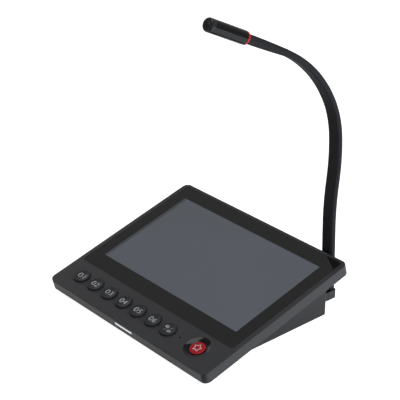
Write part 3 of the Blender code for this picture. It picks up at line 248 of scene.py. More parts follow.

# %% [markdown]
# ## Studio
# The object stands on white paper, whose reflection lights the side walls. The room above is
# darker, and that is why the top of the panel looks darker than its sides. A soft box nearly
# overhead shows in the rear of the dished well and on the microphone's cap. One at the right
# lights the right wall and the neck, and nothing mirrors it. A large faint one behind the left
# side lies as a soft sheen on the glass, and a lower one beside it shows in the well's right.
# For the camera the floor adds a little light of its own and the backdrop is white, so that
# only the shadow under the console stays. The room's right rear is dim. Two dark things are
# painted into the floor for reflections alone: the floor beyond the paper, and a black patch
# at the front right corner, a painted dark reflection that gives the round corner its dark
# middle.

# %% Floor, surroundings and lamps
FLOOR_SIZE = 12.0
FLOOR_GLOW = 0.95
REFLECTED_GLOW = 0.31
WHITE = (1, 1, 1, 1)
PAPER = (0.8, 0.8, 0.8, 1)
PAINTED_DARK_REFLECTION = (0.02, 0.02, 0.02, 1)
DARK_REFLECTION_CORNER = (0.118, -0.104)
DARK_REFLECTION_BLUR = 0.01
PAPER_END = (1.0, 1.4)
BEYOND_PAPER = 0.8
HORIZON_HEIGHTS = (0.08, 0.36)
HORIZON_LIGHT = (0.5, 0.5, 0.5, 1)
ROOM_LIGHT = (0.14, 0.14, 0.14, 1)
REAR_LIGHT = (0.2, 0.2, 0.2, 1)
REAR_START = (0.50, 0.75)
RIGHT_START = (0.10, 0.30)
floor_mesh = bmesh.new()
bmesh.ops.create_grid(floor_mesh, x_segments=1, y_segments=1, size=FLOOR_SIZE / 2)
floor_data = bpy.data.meshes.new("floor")
floor_mesh.to_mesh(floor_data)
floor_mesh.free()
floor = bpy.data.objects.new("floor", floor_data)
bpy.context.scene.collection.objects.link(floor)


def white_paper():
    """Matt white paper that also glows a little for the camera and in reflections."""
    material, shader = new_material("white_paper", 0.9)
    rays = add_node(material, "ShaderNodeLightPath").outputs
    place = object_place(material)
    parts = split(material, place)
    # Painted dark reflection: a patch at the front right corner and the floor beyond the paper
    # turn black, in reflections only.
    right, front = DARK_REFLECTION_CORNER
    in_front = ranged(material, parts["Y"], front, front - DARK_REFLECTION_BLUR)
    dark_reflection_patch = calculated(
        material, "MULTIPLY", ranged(material, parts["X"], right, right + DARK_REFLECTION_BLUR), in_front
    )
    beyond = ranged(material, distance(material, place), *PAPER_END, 0.0, BEYOND_PAPER)
    dark_in_reflections = calculated(material, "MAXIMUM", dark_reflection_patch, beyond)
    dark = calculated(material, "MULTIPLY", dark_in_reflections, rays["Is Glossy Ray"])
    connect(material, mixed(material, dark, PAPER, PAINTED_DARK_REFLECTION), shader.inputs["Base Color"])
    reflected = ranged(material, dark, 0.0, 1.0, REFLECTED_GLOW, 0.0)
    in_gloss = calculated(material, "MULTIPLY", rays["Is Glossy Ray"], reflected)
    glow = calculated(material, "MULTIPLY_ADD", rays["Is Camera Ray"], FLOOR_GLOW, in_gloss)
    shader.inputs["Emission Color"].default_value = WHITE
    connect(material, glow, shader.inputs["Emission Strength"])
    return material


def surroundings():
    """Pale at the horizon, dim overhead and at the right rear, and white for the camera."""
    world = bpy.data.worlds.new("studio")
    world.use_nodes = True
    bpy.context.scene.world = world
    background = world.node_tree.nodes["Background"]
    parts = split(world, add_node(world, "ShaderNodeTexCoord").outputs["Generated"])
    ramp = add_node(world, "ShaderNodeValToRGB", {"Fac": parts["Z"]})
    stops = zip(ramp.color_ramp.elements, HORIZON_HEIGHTS, (HORIZON_LIGHT, ROOM_LIGHT))
    for stop, height, light in stops:
        stop.position = height
        stop.color = light
    behind = ranged(world, parts["Y"], *REAR_START)
    shade = calculated(world, "MULTIPLY", behind, ranged(world, parts["X"], *RIGHT_START))
    light = mixed(world, shade, ramp.outputs["Color"], REAR_LIGHT)
    seen = add_node(world, "ShaderNodeLightPath").outputs["Is Camera Ray"]
    connect(world, mixed(world, seen, light, WHITE), background.inputs["Color"])


def soft_box(name, place, size, power, aim=(0, 0, 0.1)):
    """A square area lamp that faces the object."""
    lamp = bpy.data.lights.new(name, "AREA")
    lamp.size = size
    lamp.energy = power
    obj = bpy.data.objects.new(name, lamp)
    obj.location = place
    obj.rotation_euler = (Vector(aim) - Vector(place)).to_track_quat("-Z", "Y").to_euler()
    bpy.context.scene.collection.objects.link(obj)
    return obj


floor_data.materials.append(white_paper())
surroundings()
soft_box("high_soft_box", place=(-0.14, -0.30, 2.1), size=1.35, power=9.0)
soft_box("faint_soft_box", place=(-1.6, 0.75, 1.6), size=1.6, power=1.3)
soft_box("low_soft_box", place=(-2.3, 0.35, 1.25), size=0.9, power=1.3)
side_box = soft_box("side_soft_box", place=(2.0, 0.3, 0.7), size=1.2, power=40.0)
side_box.visible_glossy = False
side_box.data.color = (0.87, 0.94, 1.0)
print("lamps:", len(bpy.data.lights))

# %% [markdown]
# ## From a mesh to a piece
# Each piece is a bmesh, drawn at the origin or on the flat panel. One function lays it in
# place, shades it smooth but for its sharp edges, gives it its finish and names the body it
# moves with. Large flat faces keep their flat look through weighted normals.

# %% Helpers for pieces
LEVEL_TOLERANCE = GAP / 10
MERGE_DISTANCE = GAP / 100


def finish_piece(name, bm, body, material, place=None, replaces=(), angle=32.0):
    """Makes a finished piece of a bmesh, in its place. With a body named, it rides on it."""
    if place:
        bmesh.ops.transform(bm, matrix=place, verts=bm.verts)
    mesh = bpy.data.meshes.new(name)
    bm.to_mesh(mesh)
    bm.free()
    mesh.shade_smooth()
    mesh.set_sharp_from_angle(angle=math.radians(angle))
    mesh.materials.append(material)
    piece = bpy.data.objects.new(name, mesh)
    bpy.context.scene.collection.objects.link(piece)
    normals = piece.modifiers.new("Weighted normals", "WEIGHTED_NORMAL")
    normals.keep_sharp = True
    if body:
        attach(piece, body)
    if replaces:
        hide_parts(*replaces)
    return piece


def dress(material, *names):
    """Gives nodes of the solid model a finish."""
    for name in names:
        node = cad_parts[name]
        node.data.materials.clear()
        node.data.materials.append(material)


def block(width, depth, low, high, radius=0.0, segments=8):
    """A box centred on X and Y, from low to high in Z, with its upright edges rounded."""
    bm = bmesh.new()
    bmesh.ops.create_cube(bm, size=1.0)
    bmesh.ops.scale(bm, vec=(width, depth, high - low), verts=bm.verts)
    bmesh.ops.translate(bm, vec=(0, 0, (low + high) / 2), verts=bm.verts)
    if radius:
        half = (high - low) / 2
        upright = [e for e in bm.edges if abs(e.verts[0].co.z - e.verts[1].co.z) > half]
        round_off(bm, upright, radius, segments)
    return bm


def round_off(bm, edges, radius, segments):
    """Rounds some edges."""
    bmesh.ops.bevel(
        bm,
        geom=edges,
        offset=radius,
        segments=segments,
        profile=0.5,
        affect="EDGES",
        material=-1,
    )


def level_edges(bm, level):
    """The edges that lie at one height."""
    return [e for e in bm.edges if all(abs(v.co.z - level) < LEVEL_TOLERANCE for v in e.verts)]


def arc(centre_radius, centre_height, radius, start, end, steps=6):
    """Points of a round edge in a turned profile; 90 degrees points up and 0 outwards."""
    points = []
    for i in range(steps + 1):
        angle = math.radians(start + (end - start) * i / steps)
        across = centre_radius + radius * math.cos(angle)
        points.append((across, centre_height + radius * math.sin(angle)))
    return points


def turned(profile, steps=64):
    """A profile of (radius, height) points spun round Z into a closed shape."""
    bm = bmesh.new()
    points = [bm.verts.new((radius, 0, height)) for radius, height in profile]
    lines = [bm.edges.new(pair) for pair in zip(points, points[1:])]
    bmesh.ops.spin(
        bm,
        geom=points + lines,
        cent=(0, 0, 0),
        axis=(0, 0, 1),
        angle=2 * math.pi,
        steps=steps,
        use_merge=True,
    )
    bmesh.ops.remove_doubles(bm, verts=bm.verts, dist=MERGE_DISTANCE)
    bmesh.ops.recalc_face_normals(bm, faces=bm.faces)
    return bm


def helper_object(name, bm):
    """A throwaway object for a Boolean."""
    mesh = bpy.data.meshes.new(name)
    bm.to_mesh(mesh)
    bm.free()
    obj = bpy.data.objects.new(name, mesh)
    bpy.context.scene.collection.objects.link(obj)
    return obj


def carved(bm, steps):
    """The bmesh with each (operation, bmesh, matrix) of the list cut from it or joined to it."""
    target = helper_object("carved", bm)
    helpers = []
    for operation, other, place in steps:
        bmesh.ops.transform(other, matrix=place, verts=other.verts)
        helper = helper_object("helper", other)
        modifier = target.modifiers.new("Boolean", "BOOLEAN")
        modifier.operation = operation
        modifier.object = helper
        helpers.append(helper)
    bpy.context.view_layer.update()
    graph = bpy.context.evaluated_depsgraph_get()
    result = bmesh.new()
    result.from_object(target, graph)
    for helper in helpers + [target]:
        bpy.data.objects.remove(helper)
    return result


# %% [markdown]
# ## Top cover
# The cover is one moulding: a flat top with four walls, a shallow seat for the glass, round
# holes for the keys and a dished well for the red button. It could be drawn face by face,
# but a moulding is easier to read as a block with things taken out of it. The cutters for
# the holes flare at their mouths, which leaves the small rounded rim of a moulded hole.
# The dish round the red button is a shallow bowl that grows steeper towards the button. It
# comes from a polished part of the mould, so it is glossy. A fine groove runs along the front
# wall, just under its top edge.

# %% Sizes of the panel's openings
PANEL_CORNER = 0.0075
PANEL_EDGE = 0.0008
COVER_WALL = 0.0026
GLASS_WIDTH = 0.2540
GLASS_FRONT = 0.0449
GLASS_REAR = PANEL_DEPTH - 0.0040
GLASS_THICKNESS = 0.0011
GLASS_CORNER = 0.0030
SEAM = 0.00004
SCREEN_WIDTH = 0.2227
SCREEN_HEIGHT = 0.1253
SCREEN_FRONT = 0.0653
SCREEN_BORDER = 0.0040
KEY_COUNT = 7
KEYS_LEFT_OF_MIDDLE = 4
KEY_PITCH = 0.02515
KEY_ROW = 0.0244
KEY_RADIUS = 0.0094
KEY_CLEARANCE = 0.0004
KEY_ROW_LEFT_SHIFT = 0.0009
WELL_ACROSS = 0.0944
WELL_ROW = KEY_ROW + 0.0010
WELL_RADIUS = 0.0152
WELL_FLOOR_RADIUS = 0.0096
WELL_SLOPES = (15, 32)
WELL_STEPS = 10
WELL_WALL = 0.0018
WELL_BOTTOM = 0.0038
BUTTON_RADIUS = 0.0088
BUTTON_HOLE = 0.0095
BUTTON_HOLE_RIM = 0.00005
PINHOLE_ACROSS = 0.0689
PINHOLE_RADIUS = 0.0009
HOLE_DEPTH = 0.006
RIM = 0.00015
LINE_LOW = 0.0015
LINE_HIGH = 0.0009
LINE_DEPTH = 0.0014
BAR_WIDTH = 0.0288
BAR_LOW = -0.0068
BAR_HIGH = -0.0044
BAR_SLOT_DEPTH = 0.0080
BAR_SLOT_MIDDLE = 0.0030
BAR_SLOT_CORNER = 0.0006
GLASS_MIDDLE = (GLASS_FRONT + GLASS_REAR) / 2
SCREEN_MIDDLE = SCREEN_FRONT + SCREEN_HEIGHT / 2
KEY_PLACES = [
    (i - KEYS_LEFT_OF_MIDDLE) * KEY_PITCH - KEY_ROW_LEFT_SHIFT for i in range(KEY_COUNT)
]


def hole_cutter(radius, depth, rim=RIM):
    """A round cutter whose mouth flares out in a small rounded rim."""
    profile = [(0.0, -depth), (radius, -depth)]
    profile += [
        (radius + rim - rim * math.sin(a), -rim + rim * math.cos(a))
        for a in [math.radians(90 - 30 * i) for i in range(1, 4)]
    ]
    top = profile[-1][0]
    return turned(profile + [(top, OVERRUN), (0.0, OVERRUN)], steps=72)


def well_cutter():
    """The dish round the red button: gentle at its rim, and steeper and steeper to the cap."""
    step = (WELL_RADIUS - WELL_FLOOR_RADIUS) / WELL_STEPS
    gentle, steep = WELL_SLOPES
    rim_to_floor = [(WELL_RADIUS, 0.0)]
    for i in range(WELL_STEPS):
        inward = (i + 0.5) / WELL_STEPS
        slope = math.radians(gentle + (steep - gentle) * inward**2)
        radius, height = rim_to_floor[-1]
        rim_to_floor.append((radius - step, height - step * math.tan(slope)))
    profile = [(0.0, rim_to_floor[-1][1])] + rim_to_floor[::-1]
    profile += [(WELL_RADIUS, OVERRUN), (0.0, OVERRUN)]
    return turned(profile, steps=96)


# %% Cut the cover
cover = block(PANEL_WIDTH, PANEL_DEPTH, -PANEL_THICKNESS, 0.0, PANEL_CORNER, segments=12)
round_off(cover, level_edges(cover, 0.0), PANEL_EDGE, segments=4)
round_off(cover, level_edges(cover, -PANEL_THICKNESS), RIM, segments=2)
at = Matrix.Translation
inside = block(
    PANEL_WIDTH - 2 * COVER_WALL,
    PANEL_DEPTH - 2 * COVER_WALL,
    -PANEL_THICKNESS - OVERRUN,
    -COVER_WALL,
    PANEL_CORNER - COVER_WALL,
)
centre = at((0, PANEL_DEPTH / 2, 0))
bmesh.ops.transform(cover, matrix=centre, verts=cover.verts)
well_place = at((WELL_ACROSS, WELL_ROW, 0))
boss_radius = WELL_RADIUS + WELL_WALL
well_boss = turned(
    [
        (0.0, -COVER_WALL / 2),
        (boss_radius, -COVER_WALL / 2),
        (boss_radius, -WELL_BOTTOM),
        (0.0, -WELL_BOTTOM),
    ]
)
seat = block(
    GLASS_WIDTH + 2 * SEAM,
    GLASS_REAR - GLASS_FRONT + 2 * SEAM,
    -GLASS_THICKNESS - GAP,
    OVERRUN,
    GLASS_CORNER + SEAM,
)
window = block(
    SCREEN_WIDTH + 2 * SCREEN_BORDER,
    SCREEN_HEIGHT + 2 * SCREEN_BORDER,
    -COVER_WALL - OVERRUN,
    OVERRUN,
)
bar_slot = block(
    BAR_WIDTH + 2 * GAP, BAR_SLOT_DEPTH, BAR_LOW - GAP, BAR_HIGH + GAP, BAR_SLOT_CORNER, segments=3
)
line_slot = block(PANEL_WIDTH - 2 * PANEL_CORNER, 2 * LINE_DEPTH, -LINE_LOW, -LINE_HIGH)
button_hole = hole_cutter(BUTTON_HOLE, HOLE_DEPTH, BUTTON_HOLE_RIM)
pinhole = hole_cutter(PINHOLE_RADIUS, HOLE_DEPTH, 0.0)
cuts = [
    ("DIFFERENCE", inside, centre),
    ("DIFFERENCE", line_slot, at((0, 0, 0))),
    ("UNION", well_boss, well_place),
    ("DIFFERENCE", seat, at((0, GLASS_MIDDLE, 0))),
    ("DIFFERENCE", window, at((0, SCREEN_MIDDLE, 0))),
    ("DIFFERENCE", well_cutter(), well_place),
    ("DIFFERENCE", button_hole, well_place),
    ("DIFFERENCE", bar_slot, at((0, BAR_SLOT_MIDDLE, 0))),
    ("DIFFERENCE", pinhole, at((PINHOLE_ACROSS, KEY_ROW, 0))),
]
for across in KEY_PLACES:
    hole = hole_cutter(KEY_RADIUS + KEY_CLEARANCE, HOLE_DEPTH)
    cuts.append(("DIFFERENCE", hole, at((across, KEY_ROW, 0))))
cover = carved(cover, cuts)
print("cover:", len(cover.faces), "faces")

# %% The cover's plastic


def panel_place(material, across, along):
    """Coordinates in the panel's frame, measured from this place of its top face."""
    settings = {
        "Vector": object_place(material),
        "Location": on_panel(across, along).to_translation(),
        "Rotation": (TILT, 0, 0),
    }
    node = add_node(material, "ShaderNodeMapping", settings, vector_type="TEXTURE")
    return node.outputs["Vector"]


def gloss_or_shade_patch(material, middle, radius, base, roughness):
    """Gives a round part of the panel a colour and a gloss of its own, and no grain: the glossy
    well, or the painted shade of the pinhole.
    """
    shader = material.node_tree.nodes["Principled BSDF"]
    matt_base = shader.inputs["Base Color"].links[0].from_socket
    matt_rough = shader.inputs["Roughness"].links[0].from_socket
    bump = shader.inputs["Normal"].links[0].from_node
    flat = add_node(
        material,
        "ShaderNodeVectorMath",
        {0: panel_place(material, *middle), 1: (1, 1, 0)},
        operation="MULTIPLY",
    ).outputs["Vector"]
    matt = ranged(material, distance(material, flat), radius - GAP, radius)
    connect(material, mixed(material, matt, colour(base), matt_base), shader.inputs["Base Color"])
    rough = ranged(material, matt, 0.0, 1.0, roughness, matt_rough)
    connect(material, rough, shader.inputs["Roughness"])
    strength = bump.inputs["Strength"]
    grain = ranged(material, matt, 0.0, 1.0, 0.0, strength.default_value)
    connect(material, grain, strength)


# Satin black ABS: a quiet grey sheen on the walls, and a darker top.
shell_abs = grained("moulded_black_abs", "#353537", 0.34, 0.35, 0.12, IOR=1.5)
gloss_or_shade_patch(shell_abs, (WELL_ACROSS, WELL_ROW), WELL_RADIUS, "#151517", 0.10)
# Painted shade: the pinhole's walls and a thin ring round it are painted near-black, for the shade
# in the hole.
gloss_or_shade_patch(shell_abs, (PINHOLE_ACROSS, KEY_ROW), PINHOLE_RADIUS + GAP, "#060607", 0.50)
finish_piece("cover_moulding", cover, "console", shell_abs, PANEL, ["top_cover"])

# %% [markdown]
# ## Cover glass
# A sheet of glass with a black border printed on its back covers the whole screen. Through
# the unprinted middle the dark liquid-crystal panel shows as a bluish grey. Modelling the
# light's way through the glass costs noise and gives the same picture, so the sheet is a
# polished black surface with the screen's grey drawn in it. The crystal's own edge shows as
# a darker strip along the left side. The drawing reads the piece's own UV map, which holds
# real metres across and up the slope.

# %% Printed glass
PRINT_BLUR = (-0.0001, 0.0003)
STRIP_BLUR = 0.0002
LEFT_STRIPS = ((0.0036, "#4c4f54"), (0.0022, "#56595e"))
GLASS_EDGE = 0.0002
HAZE_PER_METRE = 9.0


def panel_map(bm, matrix):
    """A UV map in metres: across the panel and up its slope."""
    layer = bm.loops.layers.uv.new("across_and_up")
    back = matrix.inverted()
    for face in bm.faces:
        for loop in face.loops:
            flat = back @ loop.vert.co
            loop[layer].uv = (flat.x, flat.y)


def printed_glass():
    """Float glass over black print, with the unlit screen's grey in the middle."""
    material, shader = new_material("printed_float_glass", 0.06, IOR=1.5)
    place = add_node(material, "ShaderNodeUVMap", uv_map="across_and_up").outputs["UV"]
    parts = split(material, place)
    room = []
    for axis, middle, half in (
        ("X", 0.0, SCREEN_WIDTH / 2),
        ("Y", SCREEN_MIDDLE, SCREEN_HEIGHT / 2),
    ):
        offset = calculated(material, "SUBTRACT", parts[axis], middle)
        away = calculated(material, "ABSOLUTE", offset)
        room.append(calculated(material, "SUBTRACT", half, away))
    lit = ranged(material, calculated(material, "MINIMUM", *room), *PRINT_BLUR)
    haze = noise(material, place, HAZE_PER_METRE, detail=1.0)
    screen = mixed(material, haze, colour("#696d74"), colour("#6f737a"))
    for reach, shade in LEFT_STRIPS:
        end = reach - SCREEN_WIDTH / 2
        inner = ranged(material, parts["X"], end - STRIP_BLUR, end + STRIP_BLUR)
        screen = mixed(material, inner, colour(shade), screen)
    tint = mixed(material, lit, colour("#1b1b1c"), screen)
    connect(material, tint, shader.inputs["Base Color"])
    return material


glass = block(GLASS_WIDTH, GLASS_REAR - GLASS_FRONT, -GLASS_THICKNESS, 0.0, GLASS_CORNER)
round_off(glass, level_edges(glass, 0.0), GLASS_EDGE, segments=2)
glass_place = on_panel(0, GLASS_MIDDLE)
bmesh.ops.transform(glass, matrix=glass_place, verts=glass.verts)
panel_map(glass, PANEL)
finish_piece(
    "glass_sheet", glass, "console", printed_glass(), replaces=["cover_glass"]
)

# %% [markdown]
# ## Keys
# Each key is a round cap with a dished top, so that a finger finds its middle. Under the
# cover it widens to a flange that keeps it from falling out, and a stem stands over the
# switch. Such a shape is turned, so half of its outline is drawn and spun.

# %% Turn the key caps
KEY_STAND = 0.0022
KEY_DISH = 0.0006
DISH_STEPS = 8
KEY_EDGE = 0.0010
KEY_STEM = 0.0026
KEY_BOTTOM = -0.0062
KEY_FLANGE_REACH = 0.0011
KEY_FLANGE_THICKNESS = 0.0010


def dish(radius):
    """The height of a key's top at this distance from its middle."""
    reach = KEY_RADIUS - KEY_EDGE
    share = min(radius / reach, 1.0)
    return KEY_STAND - KEY_DISH * (1 - share**2)


def key_profile():
    """Half of a key's outline, from the middle of its top to the middle of its stem's foot."""
    reach = KEY_RADIUS - KEY_EDGE
    radii = [reach * i / DISH_STEPS for i in range(DISH_STEPS)]
    profile = [(radius, dish(radius)) for radius in radii]
    profile += arc(reach, KEY_STAND - KEY_EDGE, KEY_EDGE, 90, 0, 5)
    flange_radius = KEY_RADIUS + KEY_FLANGE_REACH
    flange_top = -COVER_WALL - GAP
    flange_low = flange_top - KEY_FLANGE_THICKNESS
    profile += [
        (KEY_RADIUS, flange_top),
        (flange_radius, flange_top),
        (flange_radius, flange_low),
        (KEY_STEM, flange_low),
        (KEY_STEM, KEY_BOTTOM),
        (0.0, KEY_BOTTOM),
    ]
    return profile


key_names = [f"key_cap_{i}" for i in range(1, 7)] + ["talk_key"]
key_bodies = [f"key_{i}" for i in range(1, 7)] + ["talk_key"]
for name, body, across in zip(key_names, key_bodies, KEY_PLACES):
    cap = turned(key_profile())
    where = on_panel(across, KEY_ROW)
    finish_piece(f"{name}_dished", cap, body, key_abs, where, [name])
print("keys:", len(key_names))

# %% [markdown]
# ## Legends
# The keys are numbered with two figures in a light grey print. A text object gives them
# their shape; as a mesh it is laid on the dished top, each point at the height of the plastic
# under it, with the thickness of a few coats of ink. The talk key has a plain sign instead:
# two small rings, each with a short bar beside it, and a thin broken stroke between them.

# %% Print on the keys
INK = 0.00006
INK_EDGE_LENGTH = 0.0006
FIGURE_HEIGHT = 0.0064
FIGURES_WIDTH = 0.0100
FIGURE_SHARE_OF_FONT_SIZE = 0.7
THIN = 0.00014
SIGN_RING_RADIUS = 0.0017
SIGN_RING_WIDTH = 0.0006
SIGN_RING_PLACE = (-0.0026, 0.0021, 0)
SIGN_BAR = (0.0006, 0.0030)
SIGN_BAR_PLACE = (-0.0050, 0.0021, 0)
SIGN_STROKE = (0.0036, 0.0003)
SIGN_STROKE_PLACE = (0.0040, 0, 0)
SIGN_STROKE_TURN = 41


def print_ink(name, base):
    """Pad-printed ink: nearly matt, with a faint unevenness."""
    return grained(name, base, 0.5, 0.5, 0.05, IOR=1.5)


pale_ink = print_ink("pale_grey_ink", "#d6dade")


def figure_outline(text):
    """The flat mesh of some figures, centred on its own middle and brought to one width."""
    curve = bpy.data.curves.new("figure", "FONT")
    curve.body = text
    curve.size = FIGURE_HEIGHT / FIGURE_SHARE_OF_FONT_SIZE
    curve.resolution_u = 6
    curve.offset = -THIN
    obj = bpy.data.objects.new("figure", curve)
    bpy.context.scene.collection.objects.link(obj)
    bpy.context.view_layer.update()
    graph = bpy.context.evaluated_depsgraph_get()
    mesh = bpy.data.meshes.new_from_object(obj.evaluated_get(graph))
    bpy.data.objects.remove(obj)
    bm = bmesh.new()
    bm.from_mesh(mesh)
    bmesh.ops.remove_doubles(bm, verts=bm.verts, dist=MERGE_DISTANCE)
    xs = [v.co.x for v in bm.verts]
    ys = [v.co.y for v in bm.verts]
    middle = Vector(((min(xs) + max(xs)) / 2, (min(ys) + max(ys)) / 2, 0))
    bmesh.ops.translate(bm, vec=-middle, verts=bm.verts)
    bmesh.ops.scale(bm, vec=(FIGURES_WIDTH / (max(xs) - min(xs)), 1, 1), verts=bm.verts)
    return bm


def ring_outline(radius, width, steps=32):
    """A flat ring: the band between two circles."""
    bm = bmesh.new()
    for size in (radius, radius - width):
        bmesh.ops.create_circle(bm, cap_ends=False, segments=steps, radius=size)
    bmesh.ops.bridge_loops(bm, edges=bm.edges)
    return bm


def bar_outline(length, width):
    """A flat bar, cut across so that it can follow a dished top."""
    bm = bmesh.new()
    bmesh.ops.create_grid(bm, x_segments=8, y_segments=1, size=0.5)
    bmesh.ops.scale(bm, vec=(length, width, 1), verts=bm.verts)
    return bm


def merged(first, second, place):
    """Adds the second flat shape to the first, moved by a matrix."""
    bmesh.ops.transform(second, matrix=place, verts=second.verts)
    mesh = bpy.data.meshes.new("merged")
    second.to_mesh(mesh)
    second.free()
    first.from_mesh(mesh)
    bpy.data.meshes.remove(mesh)
    return first


def talk_sign():
    """Two rings with a bar each, turned half a turn about the key's middle, and a stroke."""
    sign = bmesh.new()
    stroke_turn = Matrix.Rotation(math.radians(SIGN_STROKE_TURN), 4, "Z")
    for half_turn in (0.0, math.pi):
        turn = Matrix.Rotation(half_turn, 4, "Z")
        ring = ring_outline(SIGN_RING_RADIUS, SIGN_RING_WIDTH)
        sign = merged(sign, ring, turn @ at(SIGN_RING_PLACE))
        sign = merged(sign, bar_outline(*SIGN_BAR), turn @ at(SIGN_BAR_PLACE))
        stroke_place = stroke_turn @ turn @ at(SIGN_STROKE_PLACE)
        sign = merged(sign, bar_outline(*SIGN_STROKE), stroke_place)
    return sign


def lay_on(bm, height_at):
    """Drapes a flat shape over a surface and gives it the thickness of ink."""
    bmesh.ops.triangulate(bm, faces=bm.faces)
    long_edges = [e for e in bm.edges if e.calc_length() > INK_EDGE_LENGTH]
    bmesh.ops.subdivide_edges(bm, edges=long_edges, cuts=2, use_grid_fill=True)
    for vert in bm.verts:
        vert.co.z = height_at(math.hypot(vert.co.x, vert.co.y))
    drawn = bmesh.ops.extrude_face_region(bm, geom=bm.faces[:])
    tops = [item for item in drawn["geom"] if isinstance(item, bmesh.types.BMVert)]
    bmesh.ops.translate(bm, vec=(0, 0, INK), verts=tops)
    bmesh.ops.recalc_face_normals(bm, faces=bm.faces)
    return bm


for number, (body, across) in enumerate(zip(key_bodies, KEY_PLACES), start=1):
    outline = talk_sign() if body == "talk_key" else figure_outline(f"{number:02d}")
    legend = lay_on(outline, dish)
    where = on_panel(across, KEY_ROW)
    finish_piece(f"legend_{number}", legend, body, pale_ink, where)
print("legends:", len(KEY_PLACES))

# %% [markdown]
# ## Emergency button
# The red cap stands in the middle of its dished well. It is a clear red plastic. Its edge is
# painted a lighter red with a faint glow: a painted highlight for light that enters its top
# and leaves at its edge.
# Its skirt, which goes down into the well, is painted near-black: painted shade for its
# shaded lower side. A white star is printed on it.

# %% Red cap and its star
BUTTON_STAND = -0.0010
BUTTON_DOME = 0.00015
DOME_STEPS = 6
BUTTON_EDGE = 0.0008
BUTTON_REACH = BUTTON_RADIUS - BUTTON_EDGE
BUTTON_FLANGE_REACH = 0.0012
BUTTON_FLANGE_THICKNESS = 0.0009
BUTTON_STEM = 0.0030
BUTTON_BOTTOM = -0.0059
PAINTED_RIM_GLOW_DEPTHS = (0.0002, 0.0010)
RED_DEPTH = 0.0006
PAINTED_SHADE_TOP = BUTTON_STAND - RED_DEPTH
PAINTED_SHADE_BLUR = 0.0001
STAR_OUTER = 0.0055
STAR_INNER = 0.0031
STAR_BAND = 0.0008
STAR_NOTCH_SHARE = 0.8


def red_plastic():
    """Tinted polycarbonate: a deep red with a painted highlight and glow at the rim, where light
    gets out, and painted shade below the red.
    """
    material, shader = new_material("tinted_red_polycarbonate", 0.16, IOR=1.45)
    height = split(material, panel_place(material, WELL_ACROSS, WELL_ROW))["Z"]
    shallow, deep = PAINTED_RIM_GLOW_DEPTHS
    # Painted highlight: the rim of the top is painted a lighter red and made to glow.
    rim = ranged(material, height, BUTTON_STAND - shallow, BUTTON_STAND - deep)
    red = mixed(material, rim, colour("#b80a1e"), colour("#f04038"))
    connect(material, rim, shader.inputs["Emission Strength"])
    # Painted shade: below the red top the cap is painted near-black and does not glow.
    painted_shade_skirt = ranged(material, height, PAINTED_SHADE_TOP, PAINTED_SHADE_TOP - PAINTED_SHADE_BLUR)
    connect(material, mixed(material, painted_shade_skirt, red, colour("#0b0b0c")), shader.inputs["Base Color"])
    glow = mixed(material, painted_shade_skirt, colour("#8c2420"), colour("#000000"))
    connect(material, glow, shader.inputs["Emission Color"])
    return material


def button_top(radius):
    """The height of the button's faintly domed top at this distance from its middle."""
    return BUTTON_STAND - BUTTON_DOME * min(radius / BUTTON_REACH, 1.0) ** 2


def button_profile():
    """Half of the button's outline, from the middle of its top to its stem's foot."""
    radii = [BUTTON_REACH * i / DOME_STEPS for i in range(DOME_STEPS)]
    profile = [(radius, button_top(radius)) for radius in radii]
    edge_height = button_top(BUTTON_REACH) - BUTTON_EDGE
    profile += arc(BUTTON_REACH, edge_height, BUTTON_EDGE, 90, 0, 5)
    flange_radius = BUTTON_RADIUS + BUTTON_FLANGE_REACH
    flange_top = -WELL_BOTTOM - GAP
    flange_low = flange_top - BUTTON_FLANGE_THICKNESS
    profile += [
        (BUTTON_RADIUS, flange_top),
        (flange_radius, flange_top),
        (flange_radius, flange_low),
        (BUTTON_STEM, flange_low),
        (BUTTON_STEM, BUTTON_BOTTOM),
        (0.0, BUTTON_BOTTOM),
    ]
    return profile


def star_outline(outer, inner, width, points=5):
    """A flat star drawn as a band: two stars, one in the other, with the room between filled."""
    bm = bmesh.new()
    for shrink in (0.0, width):
        made = bmesh.ops.create_circle(
            bm, cap_ends=False, segments=2 * points, radius=outer - shrink
        )
        for notch in made["verts"][1::2]:
            notch.co = notch.co.normalized() * (inner - shrink * STAR_NOTCH_SHARE)
    bmesh.ops.bridge_loops(bm, edges=bm.edges)
    return bm


button_place = on_panel(WELL_ACROSS, WELL_ROW)
finish_piece(
    "red_cap",
    turned(button_profile(), steps=72),
    "emergency_button",
    red_plastic(),
    button_place,
    ["emergency_button"],
)
white_ink = print_ink("white_ink", "#f0f0f0")
star = lay_on(star_outline(STAR_OUTER, STAR_INNER, STAR_BAND), button_top)
finish_piece("star_print", star, "emergency_button", white_ink, button_place)

# %% [markdown]
# ## Light bar
# A milky strip in the front wall glows when the line is open. It shows as a thin line of a
# cool white, so the plastic gives off some light of its own. Its shape is the solid model's.

# %% Light bar
MILKY_GLOW = 0.6
FILLER_PER_METRE = 1200.0


def milky_acrylic():
    """Acrylic with a white filler, lit from behind: an even, cool white."""
    material, shader = new_material("glowing_milky_acrylic", 0.4, IOR=1.49)
    shader.inputs["Emission Strength"].default_value = MILKY_GLOW
    shader.inputs["Emission Color"].default_value = colour("#eef6fb")
    filler = noise(material, object_place(material), FILLER_PER_METRE)
    tint = mixed(material, filler, colour("#e9ebec"), colour("#f4f5f6"))
    connect(material, tint, shader.inputs["Base Color"])
    return material


dress(milky_acrylic(), "light_bar")
bar_low, bar_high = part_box("light_bar")
print("light bar:", [round(v, 4) for v in bar_high - bar_low])

# %% [markdown]
# ## Gooseneck
# The neck is a wound steel core in a flat rubber sleeve. In the solid model it is a chain of
# links, because a solid can't bend. Here the sleeve is one smooth skin again: a rounded
# rectangle drawn along the neck's curve. It is made in lengths that reach from the middle of
# one link to the middle of the next, and each length follows the curve over the joint inside it.

